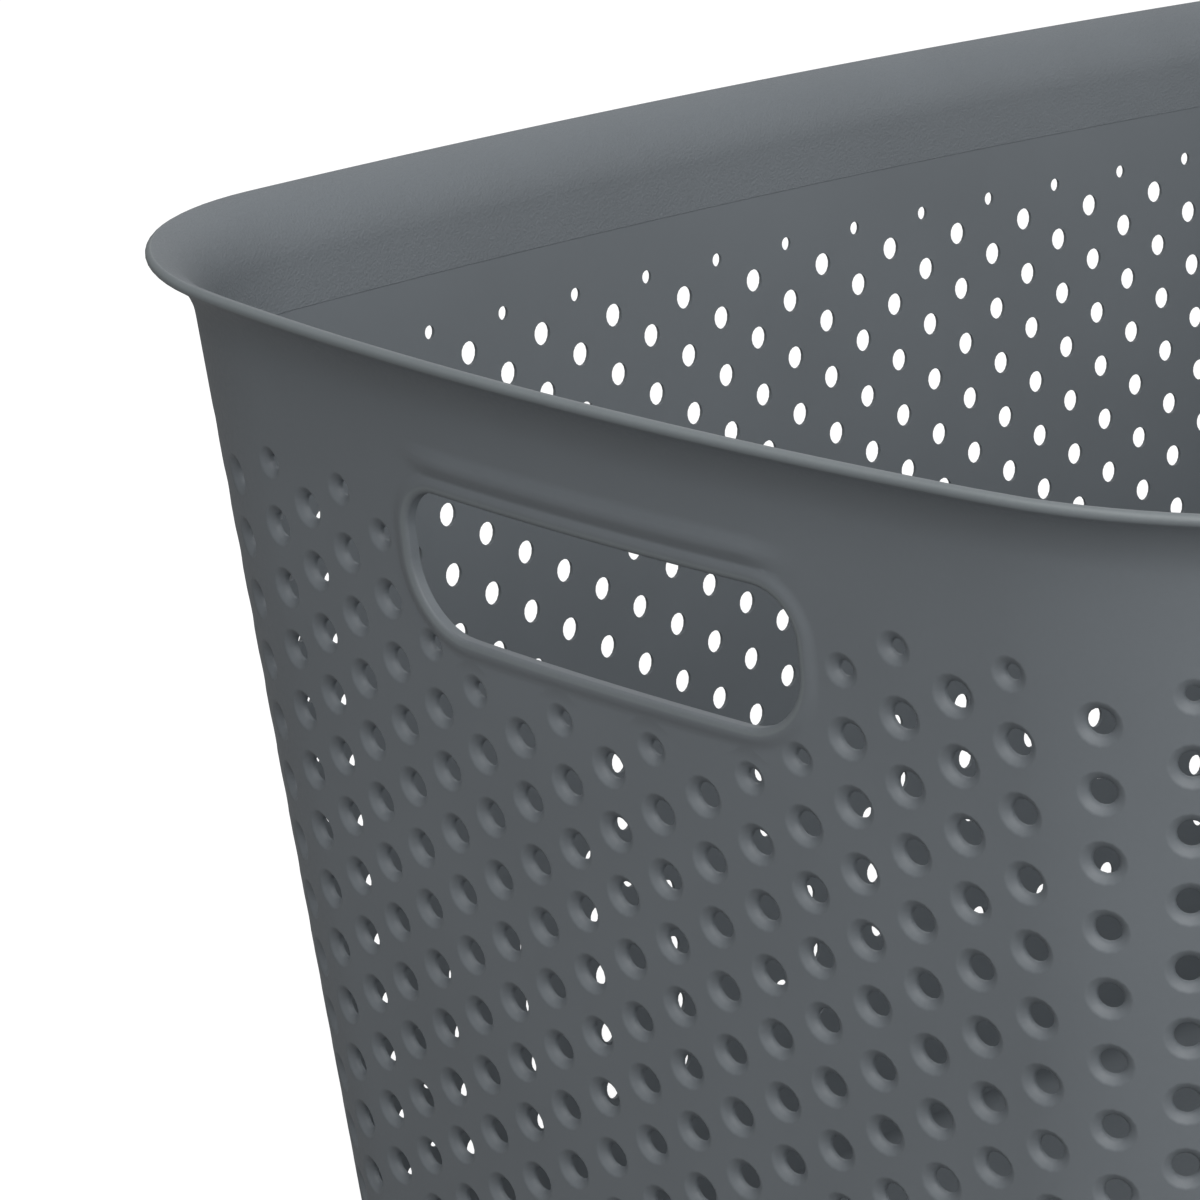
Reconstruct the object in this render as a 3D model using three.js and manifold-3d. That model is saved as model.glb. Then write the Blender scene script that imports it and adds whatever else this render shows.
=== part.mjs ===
// A perforated storage basket for a bathroom shelf, with a grip slot in each end wall.
// The real one is a single moulding. Here it is divided along its natural regions: floor, walls, corners,
// handle panels and rim. Neighbouring regions meet face to face and share the points along their seam.
// Millimetres, +Z up, origin on the ground under the middle of the basket. Left is -X and front is -Y.
import * as THREE from 'three';
import { mergeVertices } from 'three/addons/utils/BufferGeometryUtils.js';
import Module from 'manifold-3d';

// Overall sizes, measured over the lip
const overallLength = 400;
const overallWidth = 286;
const overallHeight = 225;
const wall = 2;

// The shape seen from above: bowed ends and sides, joined by round corners that tighten towards the floor
const endBowRadius = 523;
const sideBowRadius = 1535;
const cornerRadius = 55;
const cornerTaperShare = 0.7;
const endDraftDegrees = 9.2;
const sideDraftDegrees = 8;

// The rim: a plain band above the seam that flares out into a lip with a round edge
const rimBandHeight = 20.2;
const flareRadius = 12;
const lipRiseDegrees = 20;
const flareSteps = 3;
const lipSteps = 2;

// The foot and the floor
const footFillet = 7;
const footWidth = 3;
const floorFillet = 5;
const floorClearance = 3;
const floorThickness = 2.2;
const filletSteps = 2;

// The perforation: funnel-shaped holes in columns, each column half a step below the next.
// Every third half step is pierced here, which keeps the staggered pattern in fewer faces.
// The corner lengths are what a round corner takes of half a wall, where the columns keep no pitch.
const columnPitch = 10.1;
const cornerAlongEnd = 58;
const cornerAlongSide = 75;
const leastWeb = 0.8;
const rowStep = 5.65;
const topRowBelowLip = 30.5;
const plainSkirt = 40;
const piercedEvery = 3;
const handlePiercedRows = 1.5;
const mouthRadius = 3.4;
const boreRadius = 2.2;
const smallMouthRadius = 2.5;
const smallBoreRadius = 1.35;
const holeSides = 5;

// The grip slot and the bead round it
const slotWidth = 85;
const slotHeight = 24.4;
const slotAboveTopRow = 5;
const slotTopRadius = 8;
const slotBottomRadius = 12;
const slotBorder = 4.5;
const smallHoleZone = 9;
const slotArcSteps = 5;
const slotEdgeSteps = 4;
const beadRadius = 1.6;
const beadHeight = 1;
const beadTrim = 0.2;
const beadSteps = 4;
const cutOverrun = 10;

// Facets along each wall, in columns to a strip
const endStripColumns = 4;
const sideStripColumns = 6;

// Heights that follow from the sizes above
const draft = THREE.MathUtils.degToRad((endDraftDegrees + sideDraftDegrees) / 2);
const endSlope = Math.tan(THREE.MathUtils.degToRad(endDraftDegrees));
const sideSlope = Math.tan(THREE.MathUtils.degToRad(sideDraftDegrees));
const lipTurn = THREE.MathUtils.degToRad(90 - lipRiseDegrees);
const lipRadius = wall / 2;
const lipPathRadius = flareRadius + lipRadius;
const flareLevel = overallHeight - lipRadius - lipPathRadius * Math.sin(lipTurn) + flareRadius * Math.sin(draft);
const lipReach = flareRadius * Math.cos(draft) - lipPathRadius * Math.cos(lipTurn) + lipRadius;
const seamLevel = overallHeight - rimBandHeight;
const topRowLevel = overallHeight - topRowBelowLip;
const floorLevel = floorClearance + floorThickness;
const wallFootLevel = Math.max(footFillet, floorLevel + floorFillet);
const handleLevel = topRowLevel - piercedEvery * handlePiercedRows * rowStep;
const slotTopLevel = topRowLevel + slotAboveTopRow;
const lastRow = Math.floor((topRowLevel - plainSkirt) / rowStep);
const endColumnsEachSide = Math.floor((overallWidth / 2 - cornerAlongEnd) / columnPitch);
const sideColumnsEachSide = Math.floor((overallLength / 2 - cornerAlongSide) / columnPitch);

const moulding = new THREE.MeshStandardMaterial({ color: 0x5d6469, roughness: 0.55, metalness: 0 });

// One quarter of the outline at a height: three tangent arcs, from the middle of the left end to the middle
// of the back. Angles are headings of the outward normal, from -X towards +Y.
function quarterOutline(level) {
  const drop = flareLevel - level;
  const halfLength = overallLength / 2 - lipReach - drop * endSlope;
  const halfWidth = overallWidth / 2 - lipReach - drop * sideSlope;
  const end = { x: 0, y: 0, radius: endBowRadius - drop * endSlope };
  const side = { x: 0, y: 0, radius: sideBowRadius - drop * sideSlope };
  const corner = { x: 0, y: 0, radius: cornerRadius - drop * cornerTaperShare * Math.tan(draft) };
  end.x = end.radius - halfLength;
  side.y = halfWidth - side.radius;
  // The corner arc lies inside both bows, so its centre is where two circles cross
  const endReach = end.radius - corner.radius;
  const sideReach = side.radius - corner.radius;
  const apart = Math.hypot(end.x, side.y);
  const along = (endReach ** 2 - sideReach ** 2 + apart ** 2) / (2 * apart);
  const across = Math.sqrt(endReach ** 2 - along ** 2);
  const ux = -end.x / apart;
  const uy = side.y / apart;
  corner.x = end.x + along * ux + across * uy;
  corner.y = along * uy - across * ux;
  const endTurn = Math.atan2(corner.y, end.x - corner.x);
  const sideTurn = Math.atan2(corner.y - side.y, -corner.x);
  const arcs = [
    { centre: end, from: 0, to: endTurn },
    { centre: corner, from: endTurn, to: sideTurn },
    { centre: side, from: sideTurn, to: Math.PI / 2 },
  ];
  for (const arc of arcs) arc.length = arc.centre.radius * (arc.to - arc.from);
  arcs.total = arcs.reduce((sum, arc) => sum + arc.length, 0);
  return arcs;
}

const outlines = new Map();
function outlineAt(level) {
  if (!outlines.has(level)) outlines.set(level, quarterOutline(level));
  return outlines.get(level);
}

// As many columns round a corner as keep a web between the mouths of the last row, where it is tightest
const lastRowArc = outlineAt(topRowLevel - lastRow * rowStep).total;
const cornerArc = lastRowArc - (endColumnsEachSide + sideColumnsEachSide) * columnPitch;
const cornerGaps = Math.floor(cornerArc / (2 * mouthRadius + leastWeb));
const quarterColumns = endColumnsEachSide + cornerGaps + sideColumnsEachSide;

// How far along the quarter outline a column stands. Columns keep their pitch on the walls, and the gaps
// round a corner share what is left, so they close up towards the floor.
function columnArc(arcs, column) {
  const cornerStart = endColumnsEachSide * columnPitch;
  const cornerEnd = arcs.total - sideColumnsEachSide * columnPitch;
  const intoCorner = column - endColumnsEachSide;
  if (intoCorner <= 0) return column * columnPitch;
  if (intoCorner < cornerGaps) return cornerStart + (intoCorner / cornerGaps) * (cornerEnd - cornerStart);
  return arcs.total - (quarterColumns - column) * columnPitch;
}

// A column number anywhere round the basket, folded into the first quarter
function foldColumn(column) {
  const half = 2 * quarterColumns;
  const turned = ((column % (2 * half)) + 2 * half) % (2 * half);
  const quarter = Math.min(Math.floor(turned / quarterColumns), 3);
  const inHalf = turned % half;
  return {
    column: quarter % 2 === 0 ? inHalf : half - inHalf,
    signX: quarter === 0 || quarter === 3 ? 1 : -1,
    signY: quarter < 2 ? 1 : -1,
  };
}

// A point at a column, at a depth behind the outer face that the outline has at a level, and at height z
function place(column, { level, depth, z }) {
  const folded = foldColumn(column);
  const arcs = outlineAt(level);
  let left = columnArc(arcs, folded.column);
  let index = 0;
  while (index < 2 && left > arcs[index].length) {
    left -= arcs[index].length;
    index += 1;
  }
  const { centre, from } = arcs[index];
  const heading = from + left / centre.radius;
  const x = centre.x - (centre.radius - depth) * Math.cos(heading);
  const y = centre.y + (centre.radius - depth) * Math.sin(heading);
  return new THREE.Vector3(folded.signX * x, folded.signY * y, z);
}

// A point of a cross-section: on the drafted wall, or off the wall that stands at another level
const onWall = (z, depth) => ({ level: z, depth, z });
const offWall = (level, depth, z) => ({ level, depth, z });

// How much column number a length along the wall takes up at a column and a height
function columnsPerLength(column, level) {
  const arcs = outlineAt(level);
  const inQuarter = foldColumn(column).column;
  const before = Math.max(inQuarter - 0.5, 0);
  const after = Math.min(inQuarter + 0.5, quarterColumns);
  return (after - before) / (columnArc(arcs, after) - columnArc(arcs, before));
}

// The slot's outline in the plane of the end wall, grown by a margin: y across, z up, anticlockwise
function slotOutline(grown) {
  const halfWidth = slotWidth / 2 + grown;
  const bottomRadius = slotBottomRadius + grown;
  const topRadius = slotTopRadius + grown;
  const top = slotTopLevel + grown;
  const bottom = slotTopLevel - slotHeight - grown;
  const corners = [
    { y: halfWidth - bottomRadius, z: bottom + bottomRadius, radius: bottomRadius, start: -Math.PI / 2 },
    { y: halfWidth - topRadius, z: top - topRadius, radius: topRadius, start: 0 },
    { y: topRadius - halfWidth, z: top - topRadius, radius: topRadius, start: Math.PI / 2 },
    { y: bottomRadius - halfWidth, z: bottom + bottomRadius, radius: bottomRadius, start: Math.PI },
  ];
  const points = [];
  corners.forEach((corner, index) => {
    for (let step = 0; step <= slotArcSteps; step += 1) {
      const angle = corner.start + (step / slotArcSteps) * (Math.PI / 2);
      points.push({
        y: corner.y + corner.radius * Math.cos(angle),
        z: corner.z + corner.radius * Math.sin(angle),
        angle,
      });
    }
    const next = corners[(index + 1) % corners.length];
    const isLongEdge = index % 2 === 1;
    if (isLongEdge) {
      const last = points[points.length - 1];
      const endY = next.y + next.radius * Math.cos(next.start);
      for (let step = 1; step < slotEdgeSteps; step += 1) {
        const y = last.y + (step / slotEdgeSteps) * (endY - last.y);
        points.push({ y, z: last.z, angle: last.angle });
      }
    }
  });
  return points;
}

// Distance from the slot's edge to a point of the end wall, negative inside the slot
function distanceToSlot(y, z) {
  const middle = slotTopLevel - slotHeight / 2;
  const radius = z > middle ? slotTopRadius : slotBottomRadius;
  const beyondY = Math.abs(y) - (slotWidth / 2 - radius);
  const beyondZ = Math.abs(z - middle) - (slotHeight / 2 - radius);
  const outside = Math.hypot(Math.max(beyondY, 0), Math.max(beyondZ, 0));
  return outside + Math.min(Math.max(beyondY, beyondZ), 0) - radius;
}

// The hole at a column and a row counted in half steps, or null where the wall stays closed
function holeAt(column, row) {
  const isPierced = row >= 0 && row <= lastRow && row % piercedEvery === 0;
  const onLattice = Math.abs(column + row) % 2 === 0;
  if (!isPierced || !onLattice) return null;
  const z = topRowLevel - row * rowStep;
  const centre = place(column, onWall(z, 0));
  const onEndWall = foldColumn(column).column <= endColumnsEachSide;
  const gap = onEndWall ? distanceToSlot(centre.y, z) : Infinity;
  if (gap < slotBorder) return null;
  const isSmall = row === 0 || gap < smallHoleZone;
  return {
    column,
    z,
    mouth: isSmall ? smallMouthRadius : mouthRadius,
    bore: isSmall ? smallBoreRadius : boreRadius,
  };
}

// The holes between two stations and two heights
function holesBetween(first, last, low, high) {
  const holes = [];
  for (let column = Math.ceil(first); column < last; column += 1) {
    for (let row = 0; row <= lastRow; row += 1) {
      const hole = holeAt(column, row);
      if (hole && hole.z > low && hole.z < high) holes.push(hole);
    }
  }
  return holes;
}

// The rim of a hole at a depth in the wall, as column and height pairs, anticlockwise in that plane
function holeRing(hole, radius) {
  const ring = [];
  const perLength = columnsPerLength(hole.column, hole.z);
  for (let side = 0; side < holeSides; side += 1) {
    const angle = Math.PI / 2 + (side / holeSides) * 2 * Math.PI;
    ring.push({
      column: hole.column + radius * Math.cos(angle) * perLength,
      z: hole.z + radius * Math.sin(angle),
    });
  }
  return ring;
}

// Collects the triangles of one closed body
class Surface {
  constructor() {
    this.positions = [];
  }
  triangle(a, b, c) {
    for (const point of [a, b, c]) this.positions.push(point.x, point.y, point.z);
  }
  quad(a, b, c, d) {
    this.triangle(a, b, c);
    this.triangle(a, c, d);
  }
  geometry() {
    const loose = new THREE.BufferGeometry();
    loose.setAttribute('position', new THREE.Float32BufferAttribute(this.positions, 3));
    return mergeVertices(loose);
  }
}

// Triangles of a flat outline with holes, each anticlockwise, as indices into outline and holes in turn
function triangulate(outline, holes = []) {
  const points = [outline, ...holes].flat();
  return THREE.ShapeUtils.triangulateShape(outline, holes).map(([a, b, c]) => {
    const ab = points[b].clone().sub(points[a]);
    const ac = points[c].clone().sub(points[a]);
    return ab.cross(ac) > 0 ? [a, b, c] : [a, c, b];
  });
}

// One face of the pierced wall between two stations: its edge points at every level, its holes cut out
function piercedFace(surface, first, last, levels, holes, depth, ringRadius, facesOut) {
  const flat = (point) => new THREE.Vector2(point.column * columnPitch, point.z);
  const edge = [
    ...levels.map((z) => ({ column: first, z })).reverse(),
    ...levels.map((z) => ({ column: last, z })),
  ];
  const rings = holes.map((hole) => holeRing(hole, ringRadius(hole)));
  const solid = [edge, ...rings].flat().map((point) => place(point.column, onWall(point.z, depth)));
  for (const [a, b, c] of triangulate(edge.map(flat), rings.map((ring) => ring.map(flat)))) {
    if (facesOut) surface.triangle(solid[a], solid[c], solid[b]);
    else surface.triangle(solid[a], solid[b], solid[c]);
  }
}

// The funnel between the mouth of a hole outside and its bore inside
function funnel(surface, hole) {
  const mouth = holeRing(hole, hole.mouth).map((point) => place(point.column, onWall(point.z, 0)));
  const bore = holeRing(hole, hole.bore).map((point) => place(point.column, onWall(point.z, wall)));
  mouth.forEach((point, side) => {
    const next = (side + 1) % holeSides;
    surface.quad(point, bore[side], bore[next], mouth[next]);
  });
}

// A strip of plain faces along stations for each edge of an open or closed cross-section
function sweep(surface, stations, section, closed) {
  const edges = closed ? section.length : section.length - 1;
  for (let index = 1; index < stations.length; index += 1) {
    const here = section.map((point) => place(stations[index - 1], point));
    const there = section.map((point) => place(stations[index], point));
    for (let edge = 0; edge < edges; edge += 1) {
      const next = (edge + 1) % section.length;
      surface.quad(here[edge], here[next], there[next], there[edge]);
    }
  }
}

// The cut face of a cross-section at a station. Both neighbours there get the same triangles.
function cap(surface, station, section, isLast) {
  const flat = section.map((point) => new THREE.Vector2(-point.depth, point.z));
  const solid = section.map((point) => place(station, point));
  for (const [a, b, c] of triangulate(flat)) {
    if (isLast) surface.triangle(solid[a], solid[b], solid[c]);
    else surface.triangle(solid[a], solid[c], solid[b]);
  }
}

// The cut face of the pierced wall at a station, one step for each level
function wallCap(surface, station, levels, isLast) {
  for (let index = 1; index < levels.length; index += 1) {
    const [low, high] = [levels[index - 1], levels[index]];
    const corners = [onWall(low, 0), onWall(high, 0), onWall(high, wall), onWall(low, wall)];
    const [a, b, c, d] = corners.map((point) => place(station, point));
    if (isLast) surface.quad(a, b, c, d);
    else surface.quad(a, d, c, b);
  }
}

// Points of a round stretch in a cross-section, from one angle to another
function arcPoints(steps, from, to, toPoint) {
  const points = [];
  for (let step = 0; step <= steps; step += 1) points.push(toPoint(from + (step / steps) * (to - from)));
  return points;
}

// The foot: the wall turns in to stand on a narrow flat, with the floor's edge behind it
function footSection() {
  const outer = arcPoints(filletSteps, Math.PI / 2, 0, (angle) =>
    onWall(footFillet * (1 - Math.sin(angle)), footFillet * (1 - Math.cos(angle))));
  const inner = arcPoints(filletSteps, 0, Math.PI / 2, (angle) =>
    onWall(floorLevel + floorFillet * (1 - Math.sin(angle)), wall + floorFillet * (1 - Math.cos(angle))));
  const top = wallFootLevel > footFillet ? [onWall(wallFootLevel, 0)] : [];
  return [...outer, ...top, ...inner, ...footBack()];
}

// The upright face behind the foot that the floor panel meets
function footBack() {
  const depth = Math.max(footFillet + footWidth, wall + floorFillet + footWidth);
  return [floorLevel, floorClearance, 0].map((z) => offWall(0, depth, z));
}

// The rim: a straight band, the flare, the round lip, and the same way back inside
function rimSection() {
  const centreDepth = -flareRadius * Math.cos(draft);
  const centreZ = flareLevel - flareRadius * Math.sin(draft);
  const onFlare = (radius) => (turn) =>
    offWall(flareLevel, centreDepth + radius * Math.cos(turn), centreZ + radius * Math.sin(turn));
  const lipCentre = onFlare(lipPathRadius)(lipTurn);
  const under = arcPoints(flareSteps, draft, lipTurn, onFlare(flareRadius));
  const above = arcPoints(flareSteps, lipTurn, draft, onFlare(flareRadius + wall));
  const lip = arcPoints(lipSteps, 0, Math.PI / 2, (turn) =>
    offWall(flareLevel, lipCentre.depth - lipRadius * Math.cos(turn), lipCentre.z + lipRadius * Math.sin(turn)));
  return [onWall(seamLevel, 0), ...under, ...lip, ...above, onWall(seamLevel, wall)];
}

// A stretch of the rim
function rimStretch(stations) {
  const surface = new Surface();
  const section = rimSection();
  sweep(surface, stations, section, true);
  cap(surface, stations[0], section, false);
  cap(surface, stations[stations.length - 1], section, true);
  return surface.geometry();
}

// A stretch of pierced wall between levels, standing on its foot where it reaches down to it
function wallStretch(stations, levels) {
  const surface = new Surface();
  const [low, high] = [levels[0], levels[levels.length - 1]];
  const hasFoot = low === wallFootLevel;
  const ends = [[stations[0], false], [stations[stations.length - 1], true]];
  for (let index = 1; index < stations.length; index += 1) {
    const [first, last] = [stations[index - 1], stations[index]];
    const holes = holesBetween(first, last, low, high);
    piercedFace(surface, first, last, levels, holes, 0, (hole) => hole.mouth, true);
    piercedFace(surface, first, last, levels, holes, wall, (hole) => hole.bore, false);
    for (const hole of holes) funnel(surface, hole);
  }
  sweep(surface, stations, [onWall(high, 0), onWall(high, wall)], false);
  for (const [station, isLast] of ends) wallCap(surface, station, levels, isLast);
  if (hasFoot) {
    const foot = footSection();
    const topOuter = foot.findIndex((point) => point.z === wallFootLevel && point.depth === 0);
    const beyond = [...foot.slice(topOuter + 1), ...foot.slice(0, topOuter + 1)];
    sweep(surface, stations, beyond, false);
    if (beyond[0].z !== wallFootLevel) sweep(surface, stations, [onWall(wallFootLevel, wall), beyond[0]], false);
    for (const [station, isLast] of ends) cap(surface, station, foot, isLast);
  } else {
    sweep(surface, stations, [onWall(low, wall), onWall(low, 0)], false);
  }
  return surface.geometry();
}

// The floor: a flat panel that fills the foot, clear of the ground
function floorPanel(stations) {
  const surface = new Surface();
  const [top, underside] = footBack();
  const upper = stations.map((station) => place(station, top));
  const lower = stations.map((station) => place(station, underside));
  const flat = upper.map((point) => new THREE.Vector2(point.x, point.y));
  upper.forEach((point, index) => {
    const next = (index + 1) % upper.length;
    surface.quad(lower[index], lower[next], upper[next], upper[index]);
  });
  for (const [a, b, c] of triangulate(flat)) {
    surface.triangle(upper[a], upper[b], upper[c]);
    surface.triangle(lower[a], lower[c], lower[b]);
  }
  return surface.geometry();
}

const wasm = await Module();
wasm.setup();

function toSolid(geometry) {
  const bare = geometry.clone();
  bare.deleteAttribute('normal');
  bare.deleteAttribute('uv');
  const merged = mergeVertices(bare);
  return new wasm.Manifold(new wasm.Mesh({
    numProp: 3,
    vertProperties: new Float32Array(merged.attributes.position.array),
    triVerts: new Uint32Array(merged.index.array),
  }));
}

function fromSolid(solid) {
  const mesh = solid.getMesh();
  const geometry = new THREE.BufferGeometry();
  geometry.setAttribute('position', new THREE.BufferAttribute(mesh.vertProperties, mesh.numProp));
  geometry.setIndex(new THREE.BufferAttribute(mesh.triVerts, 1));
  return geometry;
}

// Where the outer face of the left end wall stands, at a place across it and a height
function endWallX(y, z) {
  const { centre } = outlineAt(z)[0];
  return centre.x - Math.sqrt(centre.radius ** 2 - y ** 2);
}

// The bead: a round rib that follows the slot on the outer face of the left end wall, rooted in the wall
function bead() {
  const surface = new Surface();
  const section = [
    { away: beadRadius, out: -wall / 2 },
    ...arcPoints(beadSteps, 0, Math.PI, (turn) =>
      ({ away: beadRadius * Math.cos(turn), out: beadHeight - beadRadius * (1 - Math.sin(turn)) })),
    { away: -beadRadius, out: -wall / 2 },
  ];
  const rings = slotOutline(beadRadius - beadTrim).map(({ y, z, angle }) => section.map(({ away, out }) =>
    new THREE.Vector3(endWallX(y, z) - out, y + away * Math.cos(angle), z + away * Math.sin(angle))));
  rings.forEach((ring, index) => {
    const following = rings[(index + 1) % rings.length];
    ring.forEach((point, side) => {
      const next = (side + 1) % section.length;
      surface.quad(point, ring[next], following[next], following[side]);
    });
  });
  return surface.geometry();
}

// The slot as a prism that runs through the left end wall
function slotPrism() {
  const shape = new THREE.Shape(slotOutline(0).map(({ y, z }) => new THREE.Vector2(y, z)));
  const outermost = endWallX(0, slotTopLevel) - cutOverrun;
  const innermost = endWallX(slotWidth / 2, slotTopLevel - slotHeight) + wall + cutOverrun;
  const prism = new THREE.ExtrudeGeometry(shape, { depth: innermost - outermost, bevelEnabled: false });
  const axes = new THREE.Matrix4().makeBasis(
    new THREE.Vector3(0, 1, 0),
    new THREE.Vector3(0, 0, 1),
    new THREE.Vector3(1, 0, 0),
  );
  return prism.applyMatrix4(axes).translate(outermost, 0, 0);
}

// A handle panel: plain wall with the bead round its slot, turned about the basket's middle to its end
function handlePanel(stations, turn) {
  const rib = toSolid(bead().rotateZ(turn));
  const slot = toSolid(slotPrism().rotateZ(turn));
  const panel = toSolid(wallStretch(stations, [handleLevel, seamLevel]));
  return fromSolid(panel.add(rib).subtract(slot));
}

// Stations across a wall, in columns from its middle, with the odd strip in the middle
function wallStations(middle, columnsEachSide, stripColumns) {
  const edge = columnsEachSide + 0.5;
  const half = [];
  for (let column = 0.5; column < edge; column += stripColumns) half.push(column);
  half.push(edge);
  return [...half.map((column) => middle - column).reverse(), ...half.map((column) => middle + column)];
}

// Stations round a corner, from its end wall to its side wall, cut in two near the middle
function cornerStations(quarter) {
  const inQuarter = [];
  for (let gap = 0; gap < cornerGaps; gap += 1) inQuarter.push(endColumnsEachSide + 0.5 + gap);
  const fromMiddle = (column) => (quarter % 2 === 0 ? column : 2 * quarterColumns - column);
  const turned = inQuarter.map((column) => fromMiddle(column) + (quarter < 2 ? 0 : 2 * quarterColumns));
  const split = Math.ceil(cornerGaps / 2);
  const ascending = (list) => [...list].sort((a, b) => a - b);
  return { end: ascending(turned.slice(0, split + 1)), side: ascending(turned.slice(split)) };
}

const basket = new THREE.Group();
const pieces = new Map([['floor', []], ['walls', []], ['rim', []]]);

function addPiece(family, name, geometry) {
  const mesh = new THREE.Mesh(geometry, moulding);
  mesh.name = name;
  pieces.get(family).push(mesh);
}

const lowerLevels = [wallFootLevel, (wallFootLevel + handleLevel) / 2, handleLevel];
const ends = [
  { name: 'left', middle: 0, turn: 0 },
  { name: 'right', middle: 2 * quarterColumns, turn: Math.PI },
];
const sides = [
  { name: 'back', middle: quarterColumns },
  { name: 'front', middle: 3 * quarterColumns },
];
const corners = ['back_left', 'back_right', 'front_right', 'front_left'];
const ring = [];

for (const { name, middle, turn } of ends) {
  const stations = wallStations(middle, endColumnsEachSide, endStripColumns);
  addPiece('walls', `end_wall_${name}`, wallStretch(stations, lowerLevels));
  addPiece('walls', `handle_panel_${name}`, handlePanel(stations, turn));
  addPiece('rim', `rim_${name}`, rimStretch(stations));
  ring.push(...stations);
}
for (const { name, middle } of sides) {
  const stations = wallStations(middle, sideColumnsEachSide, sideStripColumns);
  addPiece('walls', `side_wall_${name}`, wallStretch(stations, [...lowerLevels, seamLevel]));
  addPiece('rim', `rim_${name}`, rimStretch(stations));
  ring.push(...stations);
}
corners.forEach((name, quarter) => {
  for (const [half, stations] of Object.entries(cornerStations(quarter))) {
    addPiece('walls', `corner_${name}_${half}`, wallStretch(stations, [...lowerLevels, seamLevel]));
    addPiece('rim', `rim_corner_${name}_${half}`, rimStretch(stations));
    ring.push(...stations);
  }
});

const round = 4 * quarterColumns;
const floorStations = [...new Set(ring.map((station) => (station + round) % round))].sort((a, b) => b - a);
addPiece('floor', 'floor_panel', floorPanel(floorStations));

for (const [family, meshes] of pieces) {
  const group = new THREE.Group();
  group.name = family;
  group.add(...meshes);
  basket.add(group);
}

export default basket;
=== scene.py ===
import math
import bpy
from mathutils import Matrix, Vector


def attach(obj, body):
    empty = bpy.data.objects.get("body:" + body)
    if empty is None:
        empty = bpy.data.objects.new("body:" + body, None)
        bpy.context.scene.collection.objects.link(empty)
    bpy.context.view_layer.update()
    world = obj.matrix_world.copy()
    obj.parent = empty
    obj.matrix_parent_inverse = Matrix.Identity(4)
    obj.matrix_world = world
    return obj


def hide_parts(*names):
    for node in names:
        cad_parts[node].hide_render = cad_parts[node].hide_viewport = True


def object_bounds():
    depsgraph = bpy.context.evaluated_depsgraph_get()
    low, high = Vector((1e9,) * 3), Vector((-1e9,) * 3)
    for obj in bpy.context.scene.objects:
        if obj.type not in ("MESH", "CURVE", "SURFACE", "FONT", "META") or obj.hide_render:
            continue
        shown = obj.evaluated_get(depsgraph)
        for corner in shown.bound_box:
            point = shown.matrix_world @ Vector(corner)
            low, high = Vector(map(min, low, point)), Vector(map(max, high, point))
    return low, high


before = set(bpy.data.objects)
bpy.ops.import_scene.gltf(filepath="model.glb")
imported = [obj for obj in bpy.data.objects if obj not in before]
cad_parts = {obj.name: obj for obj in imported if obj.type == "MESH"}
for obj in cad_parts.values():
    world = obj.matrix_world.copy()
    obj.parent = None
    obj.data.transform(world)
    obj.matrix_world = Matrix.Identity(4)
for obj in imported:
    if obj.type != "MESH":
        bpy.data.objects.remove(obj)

from copy import copy
from functools import partial, partialmethod
from types import SimpleNamespace

import bpy
import numpy as np
from bpy.props import FloatProperty, FloatVectorProperty, IntProperty, PointerProperty
from mathutils import Matrix, Vector
from mathutils.geometry import delaunay_2d_cdt

# A perforated storage basket, moulded in one from slate polypropylene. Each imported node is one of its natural
# regions, and gets a fine closed piece of the same shape with every hole of the real pattern.
# Metres, +Z up. Left is -X and front is -Y. Places along the walls are counted in columns of holes, from the
# middle of the left end wall round by the back.
bl_info = {
    "name": "Storage Basket",
    "version": (1, 0, 0),
    "blender": (4, 5, 0),
    "location": "3D View > Sidebar > Basket",
    "description": "Models a perforated storage basket over its packed frame, in a plain studio",
    "category": "Object",
}

MM = 0.001
UP = np.array([0, 0, 1])
CAD_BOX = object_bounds()
CAD_SIZE = CAD_BOX[1] - CAD_BOX[0]
PIECE_PREFIX = "moulded_"
SENSOR_WIDTH = 36

# The walls by the quarter turns to their middles, and the corners in turn
WALL_TURNS = {"left": 0, "right": 2, "back": 1, "front": 3}
CORNERS = ("back_left", "back_right", "front_right", "front_left")
# Regions meet half way between two columns. The handle panel ends between the half rows 4 and 5.
HALF_COLUMN = 0.5
HANDLE_BORDER = 4.5

# Exactness of the sums
WELD = 1e-7
FLAT_SCALE = 1000
CDT_INSIDE = 1
CDT_EPSILON = 1e-6
LEVEL_NUDGE = 1e-4
RELIEF_NUDGE = 2e-5
LEAST_KEPT = 1e-6

# What the tree of holes is given, by the names of the values
PLAN_INPUTS = ("quarter", "top_row", "wall", "slot_top")
HOLE_INPUTS = ("rows", "sides", "column_pitch", "row_step", "mouth", "bore", "small_mouth", "small_bore",
               "dish_depth", "start_power", "end_power")
GRIP_INPUTS = ("slot_width", "slot_height", "top_radius", "bottom_radius", "border", "small_zone")

# Fineness of the meshes: columns from station to station, steps in a round, points between two edges
WALL_STEP = 0.5
CORNER_STEP = 0.25
FLARE_STEPS = 12
LIP_STEPS = 8
LIP_TOP_STEPS = 2
FILLET_STEPS = 8
BAND_LEVELS = 9
SKIRT_LEVELS = 5
HOLE_RINGS = 8
SLOT_ROUND_STEPS = 12
SLOT_END_STEPS = 2
SLOT_LENGTH_STEPS = 28
BEAD_STEPS = 6
INNER_ROUND_STEPS = 3
COLLAR_RINGS = 8
COLLAR_MARGINS = (0.6 * MM, 1.4 * MM)
HOLE_MARGIN = 0.7 * MM
LEDGE_HOLE_MARGIN = 0.3 * MM
PANEL_STEP = 2.8 * MM
SLOT_MARGIN = 2.2 * MM
LEDGE_STEP = 1.2 * MM
LEDGE_LEVELS = 3
LEDGE_LOW_MARGIN = 0.5 * MM
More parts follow.
